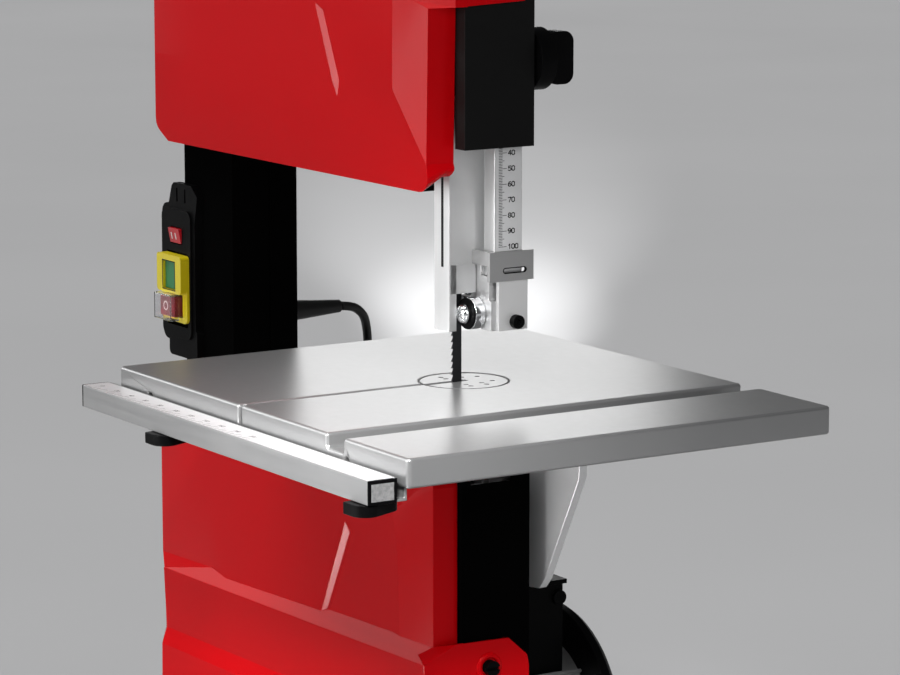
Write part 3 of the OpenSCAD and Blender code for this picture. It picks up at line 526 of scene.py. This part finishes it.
def plug():
    """A moulded mains plug lying on the floor beside the coil, and its two pins."""
    ribs = [(3.4, -1), (3.7, 0), (4.1, 3), (3.9, 4), (4.5, 6), (4.3, 7), (5.0, 9), (4.8, 10)]
    grip = [(6.0, 13), (9, 15), (12.4, 18), (13.4, 22), (13.8, 30), (13.8, 38), (13.2, 39.4), (11.5, 39.6)]
    profile = [(0, PLUG_X - 1)] + [(r, PLUG_X + x) for r, x in ribs + grip] + [(0, PLUG_X + 39.6)]
    moulding = Build().lathe("X", (PLUG_Y, PLUG_Z), profile, 48)
    body = moulding.done("plug_body", CORD, "frame", 0.3, "cord", replaces=("mains_plug",))
    pin = [(r, PLUG_X + x) for r, x in ((0, 39), (2.4, 39), (2.4, 57.2), (1.6, 58.6), (0, 59))]
    pins = Build()
    for shift in (-9.5, 9.5):
        pins.lathe("X", (PLUG_Y + shift, PLUG_Z), pin, 24)
    return [body, pins.done("plug_pins", CHROME, "frame", 0, "chrome")]


def lead_tie():
    """A flat strap round the coil's turns. It is squarish across, and stops at the floor."""
    half_wide, half_high, thick, half_long, points = 10.4, 6.9, 0.9, 2.2, 32
    turned = math.radians(-60)
    out = Vector((math.cos(turned), math.sin(turned), 0))
    along = Vector((-out.y, out.x, 0))
    centre = Vector((*COIL_CENTRE, REST_Z + CORD_D + COIL_GAP)) + out * COIL_RADII[1]

    def squarish(value):
        return math.copysign(abs(value) ** 0.5, value)

    def loop(shift, grow):
        line = []
        for i in range(points):
            a = 2 * math.pi * i / points
            side = squarish(math.cos(a)) * (half_wide + grow)
            height = max(squarish(math.sin(a)) * (half_high + grow), 0.02 - CORD_D)
            line.append(centre + along * shift + out * side + Vector((0, 0, height)))
        return line

    loops = [loop(-half_long, 0), loop(-half_long, thick), loop(half_long, thick), loop(half_long, 0)]
    return Build().band(loops).done("lead_tie", PLASTIC, "frame", 0, "black_plastic")


def mains_lead():
    line = smooth_line(lead_points(), 3.2)
    lead = tube(line, CORD_D / 2).done("mains_lead", CORD, "frame", 0, "cord",
                                       replaces=("power_cord", "cord_coil"))
    tie = lead_tie()
    plug() + [tie]


mains_lead()


# ---------- doors ----------
# The thickness of the doors' shells.
SHEET = 2.6


def hinge_knuckles(name, heights, body):
    """The door's half of its hinges: knuckles with a leaf welded to the door."""
    pin_x, pin_y, hole_r, outer_r, chamfer = -352, -16.3, 2.55, 4.5, 0.4
    inner_r = outer_r - chamfer
    leaf_lo, leaf_hi = (pin_x + 3, -19.3), (-345.5, -16.4)
    knuckles = Build()
    for z in heights:
        lo, hi = z + 14.5, z + 29
        knuckles.lathe("Z", (pin_x, pin_y), [(hole_r, lo), (inner_r, lo), (outer_r, lo + chamfer),
                                      (outer_r, hi - chamfer), (inner_r, hi), (hole_r, hi)], 32)
        knuckles.box((*leaf_lo, lo), (*leaf_hi, hi))
    return knuckles.done(name, RED, body, 0.3, "door_red")


def upper_door():
    """A pressed door with facets. Its raised middle is proud on the left of a slanting step."""
    rim, left_face, right_face, back = -36.6, -45.5, -43.2, -16.3
    left, wing, wing_back = -341, 39.1, 32
    bottom, top = 126, 466
    left_low, left_high = (left, rim, 187.5), (left, rim, 424)
    bend_low, bend_high = (-265, left_face, 189.5), (-262, left_face, 420)
    fold_low, fold_high = (-252, left_face, 230), (-250, left_face, 384)
    bend_foot = (-252.6, left_face, 178.5)
    tip = (-73, -44.6, 179.4)
    step_low, step_high = (-77.7, left_face, 189), (-99.8, left_face, 238.8)
    right_low, right_high = (-72.9, right_face, 189.9), (-93, right_face, 234)
    top_left = (-150, left_face, 425)
    edge_mid, edge_low, edge_high = (-6.7, right_face, 233), (-7.2, right_face, 189.9), (-9, -40.5, 412)
    wedge_top, wedge_side, wedge_foot = (12.1, -40, 246.5), (25.1, rim, 242), (22.7, rim, 144.2)
    wing_low, wing_high = (wing, -25.2, 243.1), (wing, -30, 438)
    left_corner = [(left, rim, 142.4), (-340.2, rim, 137.6), (-338, rim, 134.6), (-334.4, rim, 132.2),
                   (-322.5, rim, bottom)]
    right_corner = [(13.5, rim, bottom), (18, rim, 126.6), (21.4, rim, 128.6), (23.4, rim, 131.6),
                    (24, rim, 135.5)]
    top_right = [(x, -31, z) for x, z in arc(wing - 22, top - 22, 22, 0, 90, 6)]
    top_left_corner = [(x, rim, z) for x, z in arc(left + 16, top - 16, 16, 90, 180, 6)]
    shell = Build()
    shell.face([left_low, bend_low, fold_low, fold_high, bend_high, left_high])
    shell.face([bend_low, bend_foot, tip, step_low, step_high, top_left, bend_high, fold_high, fold_low])
    shell.face([tip, right_low, right_high, step_high, step_low])
    shell.face([tip, edge_low, edge_mid, right_high, right_low])
    shell.face([right_high, edge_mid, edge_high, top_left, step_high])
    shell.face([edge_mid, edge_low, wedge_foot, wedge_side, wedge_top])
    shell.face([edge_mid, wedge_top, wing_low, wing_high, edge_high])
    shell.face([wedge_top, wedge_side, wing_low])
    shell.face([left_low] + left_corner + right_corner + [wedge_foot, edge_low, tip, bend_foot, bend_low])
    shell.face([wing_high] + top_right + top_left_corner + [left_high, bend_high, top_left, edge_high])
    outline = [left_low] + left_corner + right_corner + [wedge_foot, wedge_side, wing_low, wing_high]
    outline += top_right + top_left_corner + [left_high]

    def return_points(p):
        """Where the turned-in edge bends and ends. Along the bottom it rises by lift."""
        lift = 8.5 * max(0.0, min(1.0, (144 - p[2]) / 14))
        return (p[0], max(p[1], -22), p[2] + lift), (p[0], back, p[2] + lift)

    for p, q in zip(outline, outline[1:] + outline[:1]):
        (p_mid, p_back), (q_mid, q_back) = return_points(p), return_points(q)
        shell.face([p, q, q_mid, p_mid])
        shell.face([p_mid, q_mid, q_back, p_back])
    shell.face([(wing, back, 243.5), (wing, back, 438), (wing, wing_back - 6, 438),
            (wing, wing_back, 425), (wing, wing_back, 251), (wing, wing_back - 6, 245.4)])
    shell.done("upper_door_shell", RED, "upper_door", 1.1, "door_red", 3, ("upper_door",), SHEET, 9)
    hinge_knuckles("upper_door_knuckles", (200, 420), "upper_door")


def lower_door():
    """The lower door: flat facets above, and below a ledge a fuller part that wraps round the box."""
    rim, high, back = -34.7, -41.0, -16.3
    right, left, wing = 27.4, -346, 35.2
    top, bottom = -58, -368
    full = -46.5
    top_left = [(x, -33, z) for x, z in arc(left + 16, top - 16, 16, 180, 90, 6)]
    top_right = [(x, rim, z) for x, z in arc(right - 5, top - 5, 5, 90, 0, 4)]
    edge_high, edge_low = (left, -33, -176), (left, -31, -189)
    ledge_left, ledge_start = (-258, -40, -169.7), (-238, -40, -173.5)
    groove_foot, groove_end = (-104, high, -168.6), (-99.6, -38.6, -167)
    ledge_end, ledge_right = (-15, -39.2, -164.4), (-6, -39.6, -165.2)
    panel_left, panel_right = (-269, high, -84), (-70, high, -80)
    panel_left_low = (-269, high, -106.5)
    sliver_top, sliver_side = (-72, high, -101.4), (-69.2, -38.8, -108.4)
    side_low = (-6.3, high, -108.8)
    side_high = (-12, high, -84)
    corner, fold = (right, rim, -166.2), (19.4, -41, -171.9)
    wing_front, full_right = (wing, -21.3, -164.1), (wing, full, -174.8)
    full_left = (-319, full, -181)
    dip_right, dip_left, dip_edge = (wing, -43, -221), (-322, -43, -226), (left, -31, -232)
    lip_right, lip_left, lip_edge = (wing, full, -234), (-323, full, -238), (left, -31, -244)
    foot_right, foot_left, foot_edge = (wing - 2, full, -345), (-325, full, -342), (left, -31, -340)
    foot_left_arc = [(x, -31, z) for x, z in arc(left + 14, bottom + 14, 14, 180, 270, 6)]
    foot_right_arc = [(x, -34, z) for x, z in arc(wing - 12, bottom + 12, 12, -90, 0, 6)]
    shell = Build()
    shell.face([top_left[0], panel_left, panel_left_low, ledge_start, ledge_left, edge_high])
    shell.face([panel_left, panel_right, sliver_top, groove_foot, ledge_start, panel_left_low])
    shell.face([sliver_top, sliver_side, groove_end, groove_foot])
    shell.face([panel_right, side_high, side_low, ledge_right, ledge_end, groove_end, sliver_side,
                sliver_top])
    shell.face(top_left + top_right[:1] + [side_high, panel_right, panel_left])
    shell.face(top_right + [side_low, side_high])
    shell.face([side_low, top_right[-1], corner, ledge_right])
    shell.face([edge_high, ledge_left, full_left, edge_low])
    shell.face([ledge_left, ledge_start, groove_foot, groove_end, ledge_end, ledge_right, corner, fold,
                full_right, full_left])
    shell.face([corner, wing_front, full_right, fold])
    shell.face([full_left, full_right, dip_right, dip_left])
    shell.face([edge_low, full_left, dip_left, dip_edge])
    shell.face([dip_left, dip_right, lip_right, lip_left])
    shell.face([dip_edge, dip_left, lip_left, lip_edge])
    shell.face([lip_left, lip_right, foot_right, foot_left])
    shell.face([lip_edge, lip_left, foot_left, foot_edge])
    foot = foot_right_arc[::-1] + foot_left_arc[::-1]
    shell.face([foot_edge, foot_left, foot_right] + foot)
    wing_side = [(wing, 28, -356), (wing, 34, -348), (wing, 34, -184.9), (wing, 32.5, -178.2),
                 (wing, 18.1, -165.2), wing_front]
    shell.face([full_right, dip_right, lip_right, foot_right, foot[0]] + wing_side)
    shell.face([corner, (right, back, -166), (wing, back, -164.2), wing_front])
    outline = foot + [foot_edge, lip_edge, dip_edge, edge_low, edge_high] + top_left + top_right + [corner]
    for p, q in zip(outline, outline[1:]):
        shell.face([p, q, (q[0], back, q[2]), (p[0], back, p[2])])
    shell.done("lower_door_shell", RED, "lower_door", 1.1, "door_red", 3, ("lower_door",), SHEET, 9)
    hinge_knuckles("lower_door_knuckles", (-100, -340), "lower_door")
    sunk, outer, rounded = wing - 0.4, wing + 0.6, wing + 1.6
    boss = Build().lathe("X", (2.8, -182.6), [(5.6, sunk), (9.6, sunk), (9.6, outer), (8.2, rounded),
                                              (6.6, rounded)], 48)
    boss.done("lower_latch_boss", RED, "lower_door", 0.3, "door_red")


upper_door()
lower_door()

# ---------- CAD pieces that keep their shape ----------
# Each node's material and the width of its broken edges.
FINISHES = {
    "upper_wheel_box": (BLACK, 0.8), "column": (DEEP_BLACK, 1.0), "lower_wheel_box": (DEEP_BLACK, 0.8),
    "base_plinth": (BLACK, 1.2), "rubber_feet": (RUBBER, 1.0), "frame_bolts": (STEEL, 0.5),
    "post_sleeve": (CAST, 0.4), "door_hinges": (BLACK, 0.4), "tension_spring": (STEEL, 0),
    "bearing_housing": (IRON, 0.8), "lower_guide_block": (CAST, 0.3), "motor_body": (CAST, 0.4),
    "motor_fan_cover": (PLASTIC, 0.5), "terminal_box": (PLASTIC, 1.0), "dust_port": (PLASTIC, 0.4),
    "tilt_saddle": (IRON, 0.8), "switch_housing": (PLASTIC, 0.8), "switch_bezel": (YELLOW, 0.5),
    "start_button": (GREEN, 0.6), "lamp_switch": (RED_PLASTIC, 0.4),
    "work_lamp": (PLASTIC, 0.8), "cord_gland": (CORD, 0.3), "saw_blade": (BLADE_STEEL, 0),
    "drive_belt": (RUBBER, 0.2), "upper_latch": (PLASTIC, 0.6), "lower_latch": (PLASTIC, 0.6),
    "tension_carriage": (IRON, 0.4), "axle_block": (ROLLED, 0.4), "upper_wheel": (CAST, 0.5),
    "upper_tyre": (RUBBER, 0.3), "tension_knob": (PLASTIC, 0.8), "tracking_knob": (PLASTIC, 0.8),
    "lower_wheel": (CAST, 0.5), "lower_tyre": (RUBBER, 0.3), "lower_shaft": (ROLLED, 0.3),
    "motor_shaft": (ROLLED, 0.3), "lower_thrust_roller": (CHROME, 0.3), "guide_post": (STEEL, 0.5),
    "guide_bracket": (BRACKET, 0.3), "guide_block": (CAST, 0.3), "roller_carrier": (PLASTIC, 0.4),
    "blade_guard": (STEEL, 0.15), "guide_screws": (PLASTIC, 0.3), "left_roller": (CHROME, 0.4),
    "right_roller": (CHROME, 0.4), "thrust_roller": (CHROME, 0.3), "post_lock_knob": (PLASTIC, 1.0),
    "table_insert": (TABLE, 0.3), "tilt_segment": (PLATE, 0.5),
    "tilt_lock_knob": (PLASTIC, 0.8), "fence_rail": (RAIL, 0.5), "rail_knob_left": (PLASTIC, 0.6),
    "rail_knob_right": (PLASTIC, 0.6),
}
for node, (finish, width) in FINISHES.items():
    cad(node, finish, width)
cad("table_top", TABLE, 2.0, 3, 60, clamp=False)


# ---------- small visible details ----------
# The strokes of each digit, in a cell 1 wide and 2 high.
STROKES = {
    "0": [(0.3, 0), (0.7, 0), (1, 0.35), (1, 1.65), (0.7, 2), (0.3, 2), (0, 1.65), (0, 0.35), (0.3, 0)],
    "1": [(0.2, 1.6), (0.6, 2), (0.6, 0)],
    "2": [(0, 1.6), (0.3, 2), (0.7, 2), (1, 1.6), (1, 1.2), (0, 0), (1, 0)],
    "3": [(0, 1.7), (0.3, 2), (0.8, 2), (1, 1.5), (0.5, 1.1), (1, 0.7), (0.8, 0), (0.3, 0), (0, 0.3)],
    "4": [(0.75, 0), (0.75, 2), (0, 0.65), (1, 0.65)],
    "5": [(0.95, 2), (0.1, 2), (0.05, 1.15), (0.6, 1.25), (1, 0.9), (1, 0.35), (0.6, 0), (0, 0.2)],
    "6": [(0.8, 2), (0.3, 1.8), (0, 1.1), (0, 0.4), (0.3, 0), (0.7, 0), (1, 0.4), (1, 0.8), (0.7, 1.15),
          (0, 0.9)],
    "7": [(0, 2), (1, 2), (0.4, 0)],
    "8": [(0.3, 1.05), (0.05, 1.5), (0.3, 2), (0.7, 2), (0.95, 1.5), (0.7, 1.05), (0.3, 1.05), (0, 0.5),
          (0.3, 0), (0.7, 0), (1, 0.5), (0.7, 1.05)],
    "9": [(0.2, 0), (0.7, 0.2), (1, 0.9), (1, 1.6), (0.7, 2), (0.3, 2), (0, 1.6), (0, 1.2), (0.3, 0.85),
          (1, 1.1)],
}


def stroke(build, axis, p, q, width, lo, hi):
    """A straight inked line from p to q on a face square to the axis."""
    along = Vector((q[0] - p[0], q[1] - p[1])).normalized() * width / 2
    side = Vector((-along.y, along.x))
    a, b = Vector(p) - along, Vector(q) + along
    build.prism(axis, [tuple(a - side), tuple(b - side), tuple(b + side), tuple(a + side)], lo, hi)


def number(build, axis, value, corner, digit_w, digit_h, width, lo, hi):
    """A whole number in inked strokes, from its lower left corner."""
    pitch = digit_w * 1.35
    for i, digit in enumerate(str(value)):
        x = corner[0] + i * pitch
        line = [(x + u * digit_w, corner[1] + v * digit_h / 2) for u, v in STROKES[digit]]
        for p, q in zip(line, line[1:]):
            stroke(build, axis, p, q, width, lo, hi)


def bars(build, axis, lo, hi, width, near, far):
    """The four sides of a rectangle drawn as thin bars on a face square to the axis."""
    corners = [lo, (hi[0], lo[1]), hi, (lo[0], hi[1])]
    for p, q in zip(corners, corners[1:] + corners[:1]):
        stroke(build, axis, p, q, width, near, far)


def guide_scale():
    """Height scale on the side of the guide post: millimetres from 0 at the top to 100."""
    post_x, face, inked, zero_z = 28, 28.1, 28.15, 188.8
    plate = Build().box((post_x, 12, 86.2), (face, 31.2, 194))
    plate.done("scale_plate", SCALE, "guide", 0, "aluminium")
    marks = Build()
    for value in range(101):
        z = zero_z - value
        reach = 20 if value % 10 == 0 else 18.2 if value % 5 == 0 else 16.8
        stroke(marks, "X", (14.3, z), (reach, z), 0.34, face, inked)
        if value % 10 == 0:
            number(marks, "X", value, (21.4, z - 1.4), 2.0, 2.8, 0.62, face, inked)
    marks.done("scale_marks", INK_AND_SHADE, "guide", 0, "black_plastic")


def roller_caps():
    """A washer and a domed bolt on the front of each side roller."""
    roller_x, roller_z = 11, 45
    washer = [(0, 1.5), (10.2, 1.5), (10.2, 0.9), (9.6, 0.2), (0, 0.2)]
    bolt = [(0, 0.2), (6.6, 0.2), (6.6, -1.6), (6.1, -3.0), (4.7, -4.2), (2.6, -4.9), (1.7, -5.0),
            (1.5, -4.0), (0, -4.0)]
    for name, x in (("left", -roller_x), ("right", roller_x)):
        under = Build().lathe("Y", (x, roller_z), washer, 64)
        under.done(name + "_roller_washer", PLASTIC, "guide", 0, "black_plastic")
        head = Build().lathe("Y", (x, roller_z), bolt, 48)
        head.done(name + "_roller_bolt", CHROME, "guide", 0, "chrome")


def guard_details():
    """Painted shade: a thin dark strip down the front of the guard where its crease lies in shadow, and
    the cheek beside its foot.
    """
    groove_shade = Build().box((0.4, -11.56, 75), (3.2, -11.45, 184.8))
    groove_shade.done("guard_groove_painted_shade", INK_AND_SHADE, "guide", 0, "black_plastic")
    cheek = Build().box((9, -10.5, 58), (10, 8.6, 77))
    cheek.done("guard_cheek", STEEL, "guide", 0.2, "aluminium")


def bracket_slot_rim():
    """Painted shade: a dark lining in the slot of the bracket, just proud of its face, where the slot's
    walls lie in shadow.
    """
    slot_y, slot_z, half_long = 24.7, 73.7, 7.1
    outer_r, inner_r = 1.9, 1.35
    sunk, proud = 29.4, 31.12

    def loop(x, r):
        right = arc(slot_y + half_long, slot_z, r, -90, 90, 10)
        left = arc(slot_y - half_long, slot_z, r, 90, 270, 10)
        return [(x, y, z) for y, z in right + left]

    loops = [loop(sunk, outer_r), loop(proud, outer_r), loop(proud, inner_r), loop(sunk, inner_r)]
    Build().band(loops).done("bracket_slot_rim", INK_AND_SHADE, "guide", 0, "black_plastic")


def rail_details():
    """End caps, the pale face in the right cap, and a ruler of 5 mm marks along the rail's top."""
    left_x, right_x, thick = -173, 190, 1.4
    front_y, back_y, low_z, top_z = -181, -161.4, -26.6, -12
    for name, lo, hi in (("left", left_x - thick, left_x), ("right", right_x, right_x + thick)):
        cap = Build().box((lo, front_y, low_z), (hi, back_y, top_z))
        cap.done(name + "_rail_cap", PLASTIC, "table", 0.5, "black_plastic")
    cap_x = right_x + thick
    face = Build().box((cap_x, front_y + 2, low_z + 2), (cap_x + 0.2, back_y - 2.4, top_z - 2.2))
    face.done("rail_cap_face", FAINT_INK_AND_SHADE, "table", 0, "aluminium")
    band_z, inked_z = -11.94, -11.9
    band = Build().box((-172.6, -180.5, -12.02), (189.6, -162.4, band_z))
    band.done("rail_top_band", SCALE, "table", 0, "aluminium")
    zero_x, step, count = -160, 5, 42
    marks = Build()
    for i in range(count):
        x = zero_x + i * step
        reach = -174.8 if i % 2 == 0 else -177
        stroke(marks, "Z", (x, -179.6), (x, reach), 0.4, band_z, inked_z)
        if i % 4 == 0:
            number(marks, "Z", i * step, (x - 2.6, -173.4), 1.6, 2.6, 0.4, band_z, inked_z)
    marks.done("rail_ruler", FAINT_INK_AND_SHADE, "table", 0, "frame_paint")


def insert_gap():
    """Painted shade: a thin dark ring between the table and its insert, where the joint lies in shadow."""
    inner, outer, sunk, proud = 28.3, 28.65, -0.3, 0.02
    gap = Build().lathe("Z", (3, 4), [(inner, sunk), (outer, sunk), (outer, proud), (inner, proud)], 96)
    gap.done("insert_gap", FAINT_INK_AND_SHADE, "table", 0, "frame_paint")


def switch_marks():
    """A dark rim round the start window, and two slanting marks on the lamp's rocker."""
    rim = Build()
    bars(rim, "Y", (-344.4, 17.6), (-325.6, 38.4), 0.7, -31.08, -30.9)
    rim.done("start_window_rim", INK_AND_SHADE, "frame", 0, "black_plastic")
    marks = Build()
    for x in (-340.4, -334.6):
        marks.prism("X", [(-25.0, 53.4), (-26.0, 58.3), (-26.12, 58.3), (-25.12, 53.4)], x, x + 1.2)
    marks.done("rocker_marks", LABEL, "lamp_rocker", 0, "red_button")


def stop_button():
    """The stop button's dark pad with a ring on it, in a clear cover that is open at the back."""
    pad_y, ring_y, ring_in, ring_out = -32.4, -32.48, 2.6, 3.3
    pad = Build().box((-345, pad_y, -1.4), (-325, -23, 13.4))
    pad.done("stop_pad", DARK_RED, "stop_button", 0.8, "red_button", replaces=("stop_button",))
    ring = Build().lathe("Y", (-336.5, 6), [(ring_in, pad_y), (ring_out, pad_y), (ring_out, ring_y),
                                            (ring_in, ring_y)], 32)
    ring.done("stop_mark", LABEL, "stop_button", 0, "red_button")
    left, right, low, top, front, back = -347.4, -322.6, -3.6, 15.2, -36.6, -29.6
    corners = [(left, low), (right, low), (right, top), (left, top)]
    cover = Build().face([(x, front, z) for x, z in corners])
    for (x0, z0), (x1, z1) in zip(corners, corners[1:] + corners[:1]):
        cover.face([(x0, front, z0), (x0, back, z0), (x1, back, z1), (x1, front, z1)])
    cover.done("stop_cover", CLEAR, "stop_button", 0.8, "red_button", solid=0.7)


guide_scale()
roller_caps()
guard_details()
bracket_slot_rim()
rail_details()
insert_gap()
switch_marks()
stop_button()


# ---------- studio ----------
def floor_paint():
    look = Shader("floor_paint", (0.5, 0.5, 0.5), 0.8, Specular_IOR_Level=0.0)
    look.colours(look.noise(1.2, 3), [(0.3, (0.49, 0.49, 0.495)), (0.7, (0.51, 0.51, 0.515))])
    look.rough(look.noise(6, 3), 0.65, 0.8)
    return look.bump(look.noise(60, 3), 0.05, 0.3).material


def floor():
    """A wide grey floor, a hair under the feet."""
    half = 30
    mesh = bpy.data.meshes.new("floor")
    corners = [(-half, -half, 0), (half, -half, 0), (half, half, 0), (-half, half, 0)]
    mesh.from_pydata(corners, [], [(0, 1, 2, 3)])
    mesh.materials.append(floor_paint())
    plane = bpy.data.objects.new("floor", mesh)
    plane.location.z = cad_bounds[0].z - 0.2 * MM
    bpy.context.scene.collection.objects.link(plane)


def lamp(name, kind, place, aim, power, shown="both", **settings):
    """A light that the camera doesn't see. It may light only, or only be reflected."""
    data = bpy.data.lights.new(name, kind)
    data.energy = power
    for setting, value in settings.items():
        setattr(data, setting, value)
    piece = bpy.data.objects.new(name, data)
    piece.location = place
    piece.rotation_euler = (Vector(aim) - Vector(place)).to_track_quat("-Z", "Y").to_euler()
    piece.visible_camera = False
    piece.visible_diffuse = shown != "reflected"
    piece.visible_glossy = shown != "diffuse"
    bpy.context.scene.collection.objects.link(piece)


def card(name, place, aim, size, brightness, shown="both"):
    """A rectangular light. Its power is worked out from its brightness and its size in metres."""
    power = brightness * math.pi * size[0] * size[1]
    lamp(name, "AREA", place, aim, power, shown, shape="RECTANGLE", size=size[0], size_y=size[1])


def studio():
    floor()
    world = bpy.data.worlds.new("world")
    world.use_nodes = True
    sky = world.node_tree.nodes["Background"]
    sky.inputs["Color"].default_value = (0.97, 0.98, 1.0, 1)
    sky.inputs["Strength"].default_value = 0.1
    bpy.context.scene.world = world
    lamp("overhead", "SUN", (0, 0, 3), (0.2, 0.35, 2.1), 2.35, angle=math.radians(50))
    card("front_card", (0.3, -2.5, 0.6), (0.05, 0, 0.4), (1.2, 1.2), 3.9, "diffuse")
    card("side_card", (2.35, -0.45, 1.3), (0, 0, 0.45), (1.4, 1.2), 2.7)
    card("upper_sliver_glint", (-0.02, -2.5, 1.0), (0.05, 0, 0.6), (0.7, 0.9), 60, "reflected")
    card("lower_sliver_glint", at(-81, -400, -376), at(-85, -40, -135), (0.3, 0.16), 60, "reflected")
    card("facet_glint", (-1.6, -2.5, 0.5), (0, 0, 0.5), (0.9, 1.2), 9, "reflected")
    card("ledge_glint", (-2.1, -1.2, 1.2), (0, -0.1, 0.25), (1.2, 1.0), 4, "reflected")
    card("table_sheen", at(-1660, 1050, 390), at(0, 0, 0), (0.5, 0.3), 3.6, "reflected")
    lamp("table_pool", "SPOT", at(760, -640, 640), at(110, -140, -10), 150, spot_size=math.radians(19),
         spot_blend=1.0, shadow_soft_size=0.12)
    spots = (("backdrop_glow", (-2.9, 1.95, 0), 13), ("backdrop_core", (-2.1, 1.47, 0), 10))
    for name, aim, degrees in spots:
        lamp(name, "SPOT", (-0.3, 0.3, 0.62), aim, 700, spot_size=math.radians(degrees), spot_blend=1.0,
             shadow_soft_size=0.02)
    bpy.context.scene.view_settings.view_transform = "Standard"


studio()
